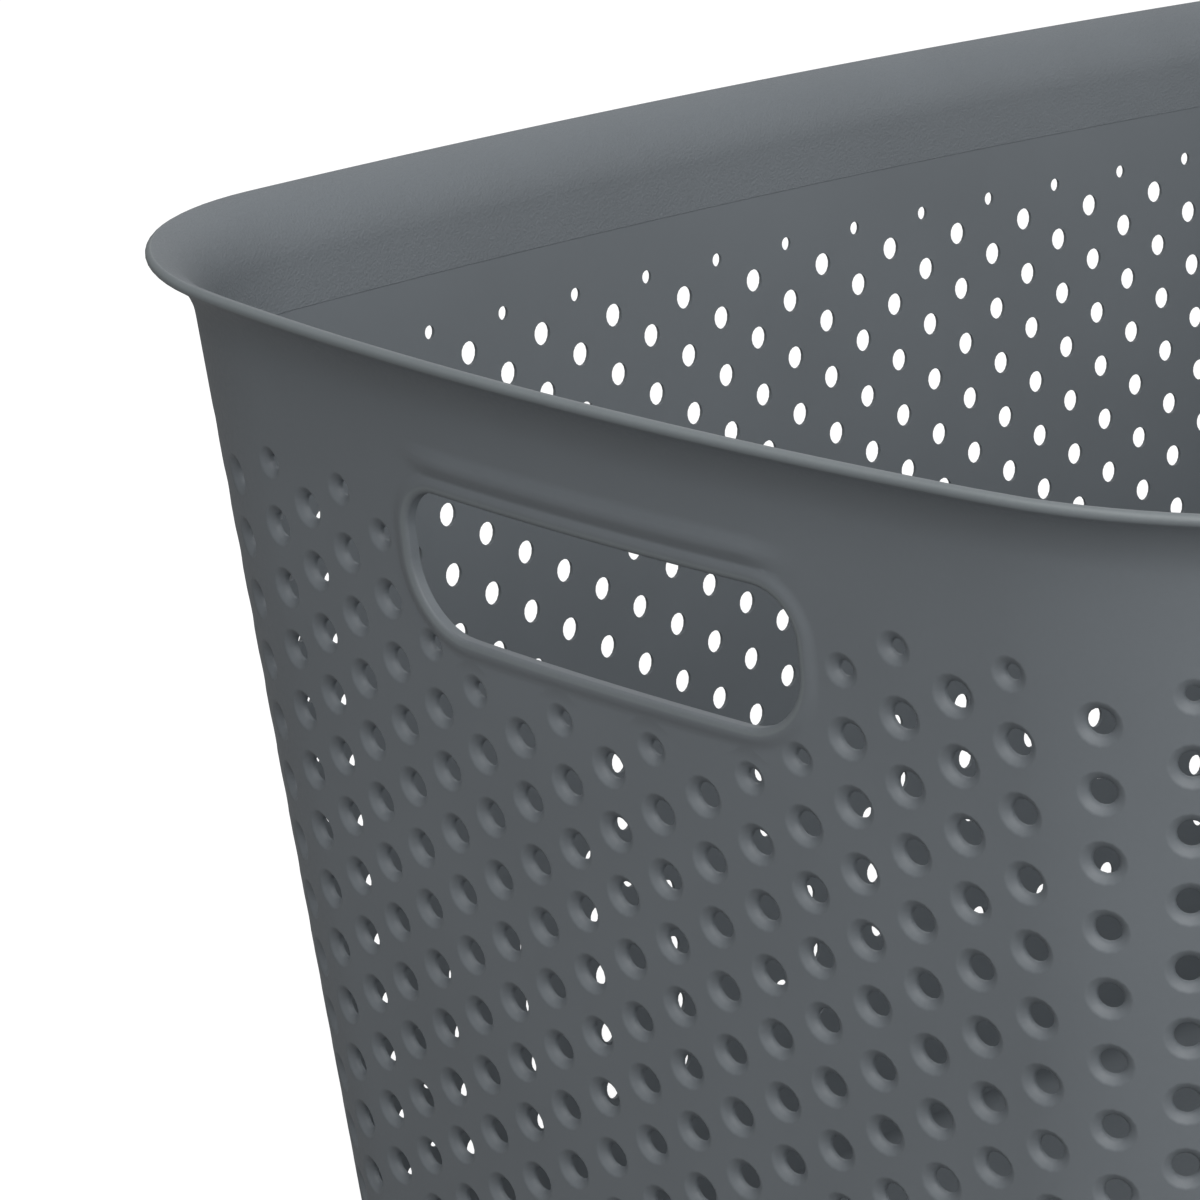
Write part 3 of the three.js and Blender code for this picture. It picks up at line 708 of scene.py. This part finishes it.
def punched_pattern(plan):
    """Flat points of every funnel in the pattern, straight from its geometry nodes."""
    values = {"finish": plan.finishes[SATIN]}
    for owner, names in ((plan, PLAN_INPUTS), (plan.holes, HOLE_INPUTS), (plan.grip, GRIP_INPUTS)):
        values.update({name: getattr(owner, name) for name in names})
    tree = hole_tree(values)
    base = new_object("pattern_base", bpy.data.meshes.new("pattern_base"))
    modifier = base.modifiers.new("Punched pattern", "NODES")
    modifier.node_group = tree
    for socket in tree.interface.items_tree:
        if socket.in_out == "INPUT":
            modifier[socket.identifier] = values[socket.name]
    graph = bpy.context.evaluated_depsgraph_get()
    mesh = bpy.data.meshes.new_from_object(base.evaluated_get(graph))
    flat = np.empty(len(mesh.vertices) * 3, dtype=np.float32)
    mesh.vertices.foreach_get("co", flat)
    base.modifiers.clear()
    bpy.data.objects.remove(base)
    bpy.data.meshes.remove(mesh)
    bpy.data.node_groups.remove(tree)
    return flat.astype(float).reshape(-1, 3)


class Holes:
    """The funnels of the pattern on the leaning walls, ring by ring from mouth to bore."""

    def __init__(self, plan):
        self.plan = plan
        sides = plan.holes.sides
        blocks = punched_pattern(plan).reshape(-1, HOLE_RINGS * sides, 3)
        spokes = blocks[0, :, :2] - blocks[0, :, :2].mean(axis=0)
        ring = np.round(blocks[0, :, 2] / WELD)
        order = np.lexsort((np.arctan2(spokes[:, 1], spokes[:, 0]), ring))
        blocks = blocks[:, order].reshape(-1, HOLE_RINGS, sides, 3)
        self.height = blocks[:, 0, :, 1].mean(axis=1)
        self.column = np.round(blocks[:, 0, :, 0].mean(axis=1) / plan.pitch)
        column, height = self.column[:, None, None], self.height[:, None, None]
        across = blocks[..., 0] - column * plan.pitch
        self.depth = blocks[..., 2].copy()
        self.depth[:, 0], self.depth[:, -1] = 0, plan.wall
        # Where the columns close up at the foot of a corner, the holes draw in so as to stay apart
        widest = np.abs(plan.beside(column, height, across) - column).max(axis=(1, 2))
        fit = np.minimum(1, (HALF_COLUMN - plan.holes.seam_share) / widest)[:, None, None]
        self.across, self.up = across * fit, (blocks[..., 1] - height) * fit
        self.columns = plan.beside(column, height, self.across)

    def between(self, stations, keep=np.isfinite):
        """The holes between two stations whose height passes a test, in columns counted from there."""
        turned = stations[0] + np.mod(self.column - stations[0], 4 * self.plan.quarter)
        chosen = (turned < stations[-1]) & keep(self.height)
        part = copy(self)
        part.columns = self.columns + (turned - self.column)[:, None, None]
        part.column = turned
        for name in ("height", "column", "across", "up", "depth", "columns"):
            setattr(part, name, getattr(part, name)[chosen])
        return part

    def ring(self, index):
        """Column and height of the points of one ring of every funnel."""
        return line(self.columns[:, index], self.height[:, None] + self.up[:, index])

    def clear_of(self, points, margin):
        """Those of some flat points that keep a margin from every mouth."""
        reach_across = np.abs(self.columns[:, 0] - self.column[:, None]).max(axis=1)
        reach_up = self.up[:, 0].max(axis=1)
        across = (points[:, None, 0] - self.column) / reach_across
        up = (points[:, None, 1] - self.height) / reach_up
        return points[(np.hypot(across, up) > 1 + margin / reach_up).all(axis=1)]

    def spread(self, stations, low, high, step_columns, step_height):
        """Extra points that keep the triangles of a curved face small, clear of its holes and border."""
        columns = np.arange(stations[0] + step_columns, stations[-1] - step_columns / 2, step_columns)
        rows = max(int((high - low) / step_height), 1)
        heights = low + (np.arange(1, rows) / rows) * (high - low)
        return self.clear_of(lattice(columns, heights), HOLE_MARGIN)

    def add_funnels(self, skin):
        """Adds the dish and the bore of every funnel to a piece."""
        plan, columns, across, up = self.plan, self.columns, self.across, self.up
        heights = self.height[:, None, None] + up
        points, _, _ = plan.place(columns, heights, self.depth, heights)
        normal, along, upward = plan.wall_axes(columns, heights)
        radius = np.hypot(across, up)
        away = (along * across[..., None] + upward * up[..., None]) / radius[..., None]
        mouth, bore = radius[:, :1], radius[:, -1:]
        narrowed = np.clip((mouth - radius) / (mouth - bore), 0, 1)
        start, end = plan.holes.start_power, plan.holes.end_power
        kept = np.maximum(1 - narrowed ** start, LEAST_KEPT)
        steepness = start * end * narrowed ** (start - 1) * kept ** (end - 1)
        slope = plan.holes.dish_depth * steepness / (mouth - bore)
        normals = unit(normal - away * slope[..., None])
        points[:, 0], normals[:, 0] = plan.outer_face(columns[:, 0], heights[:, 0])
        # The mouths get a quarter of the lighter edge colour: partly wear, partly a painted highlight round
        # each rim
        rub = np.zeros(radius.shape)
        rub[:, 0] = MOUTH_RUB_AND_HIGHLIGHT
        _, rings, sides = radius.shape
        starts = (np.arange(len(radius)) * rings * sides)[:, None, None]
        dish = quads(rings - 1, sides, closed=True)
        straight = dish[:sides] + (rings - 2) * sides
        skin.add(points, normals, (dish + starts).reshape(-1, 4), SATIN, rub)
        skin.add(points, -away, (straight + starts).reshape(-1, 4))


def outline_of(strokes):
    """The outline that strokes make, as level, depth and height."""
    rows = [tuple(row[:3]) for stroke in strokes for row in stroke[0]]
    return [row for index, row in enumerate(rows) if row != rows[index - 1]]


def rim_strokes(plan):
    """The rim's section: round the lip and down the grained band inside to the seam."""
    form, flare, draft = plan.form, plan.flare_level, plan.draft
    centre_depth = -form.flare_radius * math.cos(draft)
    centre_height = flare - form.flare_radius * math.sin(draft)

    def on_flare(radius, angle, facing):
        out, up = math.cos(angle), math.sin(angle)
        return flare, centre_depth + radius * out, centre_height + radius * up, facing * out, -facing * up

    lip = on_flare(form.flare_radius + plan.lip_radius, plan.lip_turn, 1)

    def on_lip(angle):
        out, up = math.cos(angle), math.sin(angle)
        return flare, lip[1] - plan.lip_radius * out, lip[2] + plan.lip_radius * up, out, up

    under = [on_flare(form.flare_radius, angle, 1) for angle in arc_steps(draft, plan.lip_turn, FLARE_STEPS)]
    edge = [on_lip(angle) for angle in arc_steps(-plan.lip_turn, math.pi / 2, LIP_STEPS)]
    top = [on_lip(angle) for angle in arc_steps(math.pi / 2, math.pi - plan.lip_turn, LIP_TOP_STEPS)]
    inner_radius = form.flare_radius + plan.wall
    above = [on_flare(inner_radius, angle, -1) for angle in arc_steps(plan.lip_turn, draft, FLARE_STEPS)]
    chamfer = math.atan2(form.seam_depth, form.seam_height)
    chamfer_facing = (-math.cos(chamfer), -math.sin(chamfer))
    on_band = (plan.seam + form.seam_height, plan.wall, plan.seam + form.seam_height)
    at_seam = (plan.seam, plan.wall - form.seam_depth, plan.seam)
    # Lighter colour round the lip's edge, most at its crest: partly wear, partly a painted highlight
    lip_rub_and_highlight = [1 - abs(step - RUB_AND_HIGHLIGHT_STEPS) / RUB_AND_HIGHLIGHT_STEPS for step in range(1, LIP_STEPS + 1)]
    return [
        (under + edge[1:], SATIN, [0] * len(under) + lip_rub_and_highlight),
        (top + above[1:] + [(*on_band, -math.cos(draft), math.sin(draft))], GRAINED),
        ([(*on_band, *chamfer_facing), (*at_seam, *chamfer_facing)],),
    ]


def make_rim(plan, node, stations, strokes):
    """Makes a stretch of the rim, its outer face with the upper part of the ledge over a slot."""
    skin = Skin(plan, node)
    heights = np.linspace(plan.seam, plan.flare_level, BAND_LEVELS)
    points, normals = plan.outer_face(stations[:, None], heights)
    skin.grid(points, normals)
    for stroke in strokes:
        skin.sweep(stations, *stroke)
    seam_back, _, _ = plan.place(stations, plan.seam, plan.wall - plan.form.seam_depth, plan.seam)
    skin.grid(np.stack([points[:, 0], seam_back]), -UP)
    skin.add_caps(stations, [(height, 0.0, height) for height in heights[:-1]] + outline_of(strokes))
    skin.settle()


def foot_strokes(plan):
    """The foot's section, from the wall outside over the flat on the ground to the wall inside."""
    back, floor, foot = plan.foot_back, plan.floor_level, plan.form.foot_fillet

    def fillet(height, depth, radius, start, end, facing):
        angles = arc_steps(start, end, FILLET_STEPS)
        levels = [height + radius * (1 - math.sin(angle)) for angle in angles]
        return [(level, depth + radius * (1 - math.cos(angle)), level, facing * math.cos(angle),
                 -facing * math.sin(angle)) for level, angle in zip(levels, angles)]

    outer_round = fillet(0, 0, foot, 0, math.pi / 2, 1)
    inner_round = fillet(floor, plan.wall, plan.form.floor_fillet, math.pi / 2, 0, -1)
    wall_end = (plan.wall_foot, 0, plan.wall_foot, math.cos(plan.draft), -math.sin(plan.draft))
    flat = [(0, depth, 0, 0, -1) for depth in (foot, back)]
    rise = [(0, back, height, -1, 0) for height in (0, plan.form.floor_clearance, floor)]
    return [([wall_end, *outer_round],), (flat,), (rise,), ([(0, back, floor, 0, 1), *inner_round],)]


def edge_levels(plan, low, high):
    """Heights of the points on an upright edge between two regions, shared by both."""
    halves = [plan.row_level(row + 0.5) for row in range(-1, 2 * plan.holes.rows)]
    skirt = np.linspace(plan.wall_foot, halves[-1], SKIRT_LEVELS)[:-1]
    levels = np.array([*skirt, *halves[::-1], plan.seam])
    return levels[(levels >= low - WELD) & (levels <= high + WELD)]


def handle_border(plan, stations):
    """The zigzag between an end wall and its handle panel, which runs between the holes."""
    whole = np.round(stations)
    is_half = np.abs(stations - whole) > HALF_COLUMN / 2
    return plan.row_level(np.where(is_half, HANDLE_BORDER, HANDLE_BORDER + 0.5 - whole % 2))


def border_of(stations, bottoms, tops, sides):
    """The border of a region: its lower edge, its last side, its upper edge and its first side."""
    low, high = line(stations, bottoms), line(stations, tops)
    return np.concatenate([low, line(stations[-1], sides), high[::-1], line(stations[0], sides)[::-1]])


def make_wall(plan, node, stations, holes, step, has_handle=False):
    """Makes a pierced wall on its foot, up to the seam or to the border of its handle panel."""
    skin = Skin(plan, node)
    tops = handle_border(plan, stations) if has_handle else np.full(len(stations), plan.seam)
    levels = edge_levels(plan, plan.wall_foot, tops[0])
    border = border_of(stations, plan.wall_foot, tops, levels[1:-1])
    extra = holes.spread(stations, plan.wall_foot, tops.min(), step, 2 * plan.holes.row_step / 3)
    skin.add_plate(plan.outer_face, border, holes, 0, extra)
    skin.add_plate(plan.inner_face, border, holes, -1, extra)
    holes.add_funnels(skin)
    skin.add_edge(stations, tops, UP)
    strokes = foot_strokes(plan)
    for stroke in strokes:
        skin.sweep(stations, *stroke)
    outside = [(level, 0.0, level) for level in levels[:0:-1]]
    inside = [(level, plan.wall, level) for level in levels[1:]]
    skin.add_caps(stations, outside + outline_of(strokes) + inside)
    skin.settle()


def slot_loop(plan, middle, grown):
    """The slot's outline grown by a margin, as column and height, with the direction away from the slot."""
    grip = plan.grip
    half_width = grip.slot_width / 2 + grown
    top, bottom = plan.slot_top + grown, plan.slot_top - grip.slot_height - grown
    upper, lower = grip.top_radius + grown, grip.bottom_radius + grown
    corners = [
        (half_width - lower, bottom + lower, lower, -math.pi / 2, SLOT_END_STEPS),
        (half_width - upper, top - upper, upper, 0, SLOT_LENGTH_STEPS),
        (upper - half_width, top - upper, upper, math.pi / 2, SLOT_END_STEPS),
        (lower - half_width, bottom + lower, lower, math.pi, SLOT_LENGTH_STEPS),
    ]

    def on_round(corner, angle):
        x, z, radius = corner[:3]
        return np.array([x + radius * math.cos(angle), z + radius * math.sin(angle), angle])

    rows = []
    for corner, following in zip(corners, corners[1:] + corners[:1]):
        start, straight = corner[3:]
        rows += [on_round(corner, angle) for angle in arc_steps(start, start + math.pi / 2, SLOT_ROUND_STEPS)]
        here, there = rows[-1], on_round(following, following[3])
        there[2] = here[2]
        rows += [here + step / straight * (there - here) for step in range(1, straight)]
    across, height, angle = np.array(rows).T
    return line(middle + across / plan.pitch, height), angle


def add_slot_edge(skin, middle):
    """Adds the bead's inner side, the cut through the wall and its rounded inner edge."""
    plan, grip = skin.plan, skin.plan.grip
    profile = []
    for angle in arc_steps(math.pi / 2, 0, BEAD_STEPS):
        height = grip.bead_root + grip.bead_height
        out, away = grip.bead_crest * math.sin(angle), -height * math.cos(angle)
        size = math.hypot(out, away)
        depth = grip.bead_root - height * math.sin(angle)
        profile.append((grip.bead_crest * (1 - math.cos(angle)), depth, out / size, away / size))
    profile[0] = (grip.bead_crest, -grip.bead_height, 1, 0)
    for angle in arc_steps(0, math.pi / 2, INNER_ROUND_STEPS):
        depth = plan.wall - grip.inner_round * (1 - math.sin(angle))
        profile.append((grip.inner_round * (1 - math.cos(angle)), depth, -math.sin(angle), -math.cos(angle)))
    points, normals = [], []
    for grown, depth, out, away in profile:
        loop, angle = slot_loop(plan, middle, grown)
        column, height = loop.T
        normal, along, up = plan.wall_axes(column, height)
        aside = along * np.cos(angle)[:, None] + up * np.sin(angle)[:, None]
        points.append(plan.place(column, height, depth, height)[0])
        normals.append(normal * out + aside * away)
    # Lighter colour at the bead's crest, fading into the slot: partly wear from the hand, partly a painted
    # highlight
    rub = np.clip(1 - np.arange(len(profile)) / RUB_AND_HIGHLIGHT_STEPS, 0, 1)[:, None]
    skin.grid(np.array(points), np.array(normals), SATIN, rub, closed=True)


def make_handle(plan, node, stations, holes):
    """Makes the panel round a grip slot, with bead, ledge and small holes."""
    skin, grip = Skin(plan, node), plan.grip
    middle = (stations[0] + stations[-1]) / 2
    bottoms = handle_border(plan, stations)
    levels = edge_levels(plan, bottoms[0], plan.seam)
    border = border_of(stations, bottoms, plan.seam, levels[1:-1])
    plain = holes.spread(stations, bottoms.max(), plan.seam, WALL_STEP, PANEL_STEP)
    far = grip.bead_crest + grip.collar
    plain = plain[plan.from_slot(*plain.T)[0] > far + SLOT_MARGIN]

    def loops(margins):
        return [slot_loop(plan, middle, margin)[0] for margin in margins]

    collar = np.stack(loops(grip.bead_crest + grip.collar * np.linspace(0, 1, COLLAR_RINGS)))
    skin.grid(*plan.outer_face(collar[..., 0], collar[..., 1]), closed=True)
    ledge_columns = np.linspace(-0.5, 0.5, int(grip.slot_width / LEDGE_STEP)) * grip.slot_width / plan.pitch
    ledge_low = plan.slot_top + far + LEDGE_LOW_MARGIN
    ledge_heights = np.linspace(ledge_low, plan.seam - LEDGE_HIGH_MARGIN, LEDGE_LEVELS)
    outside = loops(far + margin for margin in COLLAR_MARGINS)
    extra = np.concatenate([plain, *outside, lattice(middle + ledge_columns, ledge_heights)])
    extra = holes.clear_of(extra, LEDGE_HOLE_MARGIN)
    skin.add_plate(plan.outer_face, border, holes, 0, extra, [collar[-1]])
    skin.add_plate(plan.inner_face, border, holes, -1, plain, loops([grip.inner_round]))
    holes.add_funnels(skin)
    add_slot_edge(skin, middle)
    skin.add_edge(stations, bottoms, -UP)
    skin.add_edge(stations, plan.seam, UP)
    for station, side in ((stations[0], -1), (stations[-1], 1)):
        _, along, _ = plan.wall_axes(station, levels[0])
        skin.add_edge(station, levels, side * along)
    skin.settle()


def noise(tree, at, scale, detail):
    """How strong a noise is at each place."""
    return add_node(tree, "ShaderNodeTexNoise", {"Vector": at, "Scale": scale, "Detail": detail})


def bump(tree, height, distance, **under):
    """The normal turned by a height map."""
    return add_node(tree, "ShaderNodeBump", {"Height": height, "Distance": distance, "Strength": 1, **under})


def plastic(look, name, roughness, has_grain=False):
    """Slate polypropylene: soft clouds and fine specks in the colour, rubbed edges whose lighter colour is
    partly wear and partly a painted highlight, and a satin or grained skin."""
    if name in bpy.data.materials:
        return bpy.data.materials[name]
    material = bpy.data.materials.new(name)
    tree = empty_tree(material)
    at = add_node(tree, "ShaderNodeTexCoord", output="Object")
    specks = noise(tree, at, 1 / look.speck_size, SPECK_DETAIL)
    tone = noise(tree, at, 1 / look.mottle_size, CLOUD_DETAIL) + specks * SPECK_SHARE
    # The lighter edge colour mixed in here is partly wear and partly a painted highlight on the lip, the bead
    # and the hole mouths; the same amount makes them smoother
    rubbed_and_highlit = add_node(tree, "ShaderNodeAttribute", output="Fac", attribute_name="rub")
    tint = add_node(tree, "ShaderNodeMix", {
        "Factor_Float": rubbed_and_highlit, "A_Color": (*look.slate, 1), "B_Color": (*look.rubbed_and_highlit, 1)},
        MIXED_COLOUR, data_type="RGBA")
    bright = add_node(tree, "ShaderNodeMapRange", (tone, *TONE_RANGE, 1 - look.mottle, 1 + look.mottle))
    shaded = add_node(tree, "ShaderNodeVectorMath", {"Vector": tint, "Scale": bright}, operation="SCALE")
    uneven = add_node(tree, "ShaderNodeMapRange", (
        specks, *SPECK_RANGE, roughness - UNEVENNESS, roughness + UNEVENNESS))
    waves = noise(tree, at, 1 / look.tool_mark_size, WAVE_DETAIL)
    normal = bump(tree, waves, look.tool_mark_depth)
    if has_grain:
        cells = add_node(tree, "ShaderNodeTexVoronoi", {
            "Vector": at, "Scale": 1 / look.grain_size, "Smoothness": CELL_SMOOTHNESS}, feature="SMOOTH_F1")
        fine = noise(tree, at, FINE_GRAIN / look.grain_size, SPECK_DETAIL)
        grain = fine.math("MULTIPLY_ADD", FINE_GRAIN_SHARE, cells)
        normal = bump(tree, grain, look.grain_depth, Normal=normal)
    shader = add_node(tree, "ShaderNodeBsdfPrincipled", {
        "Base Color": shaded, "Roughness": uneven + rubbed_and_highlit * -look.rub, "IOR": IOR, "Normal": normal})
    add_node(tree, "ShaderNodeOutputMaterial", [shader], is_active_output=True)
    return material


class BASKET_OT_floor_panel(bpy.types.Operator):
    """Makes the floor inside the foot"""
    bl_idname = "basket.floor_panel"
    bl_label = "Floor panel"

    def execute(self, context):
        plan = Plan(context.scene)
        skin = Skin(plan, "floor_panel")
        stations = np.arange(0, 4 * plan.quarter, WALL_STEP)
        heights = (plan.floor_level, plan.form.floor_clearance)
        _, outward, _ = plan.place(stations, 0.0, 0.0, 0.0)
        rims = np.stack([plan.place(stations, 0.0, plan.foot_back, height)[0] for height in heights])
        skin.grid(rims, outward, closed=True)
        rim = rims[0, :, :2]
        spots = lattice(*(np.arange(-reach, reach, FLOOR_STEP) for reach in np.abs(rim).max(axis=0)))
        turns = np.arctan2(rim[:, 1], rim[:, 0])
        order = np.argsort(turns)
        reach = np.interp(np.arctan2(spots[:, 1], spots[:, 0]), turns[order], np.hypot(*rim[order].T))
        spots = spots[np.hypot(*spots.T) < reach - FLOOR_MARGIN]
        triangles = triangulate([rim * FLAT_SCALE], spots * FLAT_SCALE)
        flat = np.concatenate([rim, spots])
        for height, facing in zip(heights, (UP, -UP)):
            skin.add(np.column_stack([flat, np.full(len(flat), height)]), facing, triangles)
        skin.settle()
        return {"FINISHED"}


class BASKET_OT_walls(bpy.types.Operator):
    """Makes the pierced end walls, long walls and corners on their foot"""
    bl_idname = "basket.walls"
    bl_label = "Pierced walls"

    def execute(self, context):
        plan = Plan(context.scene)
        holes = Holes(plan)
        limit = plan.row_level(HANDLE_BORDER)
        for side, stations in plan.wall_runs().items():
            is_end = side in ("left", "right")
            part = holes.between(stations, lambda height: (height < limit) | (not is_end))
            node = f"end_wall_{side}" if is_end else f"side_wall_{side}"
            make_wall(plan, node, stations, part, WALL_STEP, is_end)
        for node, stations in plan.corner_runs().items():
            make_wall(plan, node, stations, holes.between(stations), CORNER_STEP)
        return {"FINISHED"}


class BASKET_OT_handle_panels(bpy.types.Operator):
    """Makes the panels round the two grip slots"""
    bl_idname = "basket.handle_panels"
    bl_label = "Handle panels"

    def execute(self, context):
        plan = Plan(context.scene)
        holes = Holes(plan)
        limit = plan.row_level(HANDLE_BORDER)
        runs = plan.wall_runs()
        for side in ("left", "right"):
            part = holes.between(runs[side], lambda height: height > limit)
            make_handle(plan, f"handle_panel_{side}", runs[side], part)
        return {"FINISHED"}


class BASKET_OT_rims(bpy.types.Operator):
    """Makes the rim with its flared lip and the grained band inside"""
    bl_idname = "basket.rims"
    bl_label = "Rims"

    def execute(self, context):
        plan = Plan(context.scene)
        strokes = rim_strokes(plan)
        for region, stations in {**plan.wall_runs(), **plan.corner_runs()}.items():
            make_rim(plan, f"rim_{region}", stations, strokes)
        return {"FINISHED"}


def studio_floor(studio):
    """A wide pale floor that keeps the basket's shadow and meets the white background."""
    mesh = bpy.data.meshes.new("studio_floor")
    corners = [Vector((x, y, 0)) * studio.floor_reach for x, y in ((-1, -1), (1, -1), (1, 1), (-1, 1))]
    mesh.from_pydata(corners, [], [range(4)])
    material = bpy.data.materials.new("pale_floor")
    tree = empty_tree(material)
    seen = add_node(tree, "ShaderNodeLightPath", output="Is Camera Ray")
    matte = add_node(tree, "ShaderNodeBsdfDiffuse", {"Color": (*studio.floor_tone, 1)})
    glow = add_node(tree, "ShaderNodeEmission", {"Strength": seen * studio.floor_glow})
    both = add_node(tree, "ShaderNodeAddShader", [matte, glow])
    add_node(tree, "ShaderNodeOutputMaterial", [both])
    mesh.materials.append(material)
    floor = new_object("studio_floor", mesh)


def studio_sky(scene, studio):
    """Even white light from all round, and plain white where the camera sees past the floor."""
    world = bpy.data.worlds.new("studio_sky")
    tree = empty_tree(world)
    seen = add_node(tree, "ShaderNodeLightPath", output="Is Camera Ray")
    through = add_node(tree, "ShaderNodeLightPath", output="Is Transmission Ray")
    strength = seen.math("MAXIMUM", through).math("MULTIPLY_ADD", 1 - studio.sky, studio.sky)
    light = add_node(tree, "ShaderNodeBackground", {"Strength": strength})
    add_node(tree, "ShaderNodeOutputWorld", [light])
    scene.world = world


def softbox(name, power, size, middle):
    """A square lamp that faces the middle of the basket."""
    lamp = bpy.data.lights.new(name, "AREA")
    lamp.energy, lamp.size = power, size
    holder = new_object(name, lamp)
    holder.location = middle
    aim = Vector((0, 0, CAD_SIZE.z / 2)) - Vector(middle)
    holder.rotation_euler = aim.to_track_quat("-Z", "Y").to_euler()


def studio_camera(scene, studio):
    """The camera at the photograph's angle."""
    camera = bpy.data.cameras.new("camera")
    camera.sensor_fit, camera.sensor_width = "HORIZONTAL", SENSOR_WIDTH
    camera.lens = studio.camera_lens
    holder = new_object("camera", camera)
    turns = ((studio.camera_heading, "Z"), (math.pi / 2 - studio.camera_tilt, "X"), (studio.camera_roll, "Z"))
    heading, tilt, roll = (Matrix.Rotation(angle, 4, axis) for angle, axis in turns)
    holder.matrix_world = Matrix.Translation(studio.camera_place) @ heading @ tilt @ roll
    scene.camera = holder


class BASKET_OT_studio(bpy.types.Operator):
    """Sets up the floor, the light and the camera"""
    bl_idname = "basket.studio"
    bl_label = "Studio"

    def execute(self, context):
        scene = context.scene
        studio = scene.basket_studio
        scene.view_settings.view_transform = "Standard"
        studio_floor(studio)
        studio_sky(scene, studio)
        for name in ("key", "left", "low", "side", "back"):
            power, middle = getattr(studio, f"{name}_power"), getattr(studio, f"{name}_place")
            softbox(f"{name}_softbox", power, studio.softbox_size, middle)
        studio_camera(scene, studio)
        return {"FINISHED"}


class BASKET_PT_sidebar(bpy.types.Panel):
    """Lists the steps that make the basket"""
    bl_idname = "BASKET_PT_sidebar"
    bl_label = "Storage Basket"
    bl_space_type = "VIEW_3D"
    bl_region_type = "UI"
    bl_category = "Basket"

    def draw(self, context):
        for operator in OPERATORS:
            self.layout.operator(operator.bl_idname)


OPERATORS = (
    BASKET_OT_studio,
    BASKET_OT_floor_panel,
    BASKET_OT_walls,
    BASKET_OT_handle_panels,
    BASKET_OT_rims,
)
SETTINGS = {
    "basket_form": BasketForm,
    "basket_holes": BasketHoles,
    "basket_grip": BasketGrip,
    "basket_finish": BasketFinish,
    "basket_studio": BasketStudio,
}
CLASSES = (*SETTINGS.values(), *OPERATORS, BASKET_PT_sidebar)


def register():
    for kind in CLASSES:
        bpy.utils.register_class(kind)
    for name, group in SETTINGS.items():
        setattr(bpy.types.Scene, name, PointerProperty(type=group))


def unregister():
    for name in SETTINGS:
        delattr(bpy.types.Scene, name)
    for kind in reversed(CLASSES):
        bpy.utils.unregister_class(kind)


def main():
    register()
    bpy.ops.basket.studio()
    bpy.ops.basket.floor_panel()
    bpy.ops.basket.walls()
    bpy.ops.basket.handle_panels()
    bpy.ops.basket.rims()


if __name__ == "__main__":
    main()
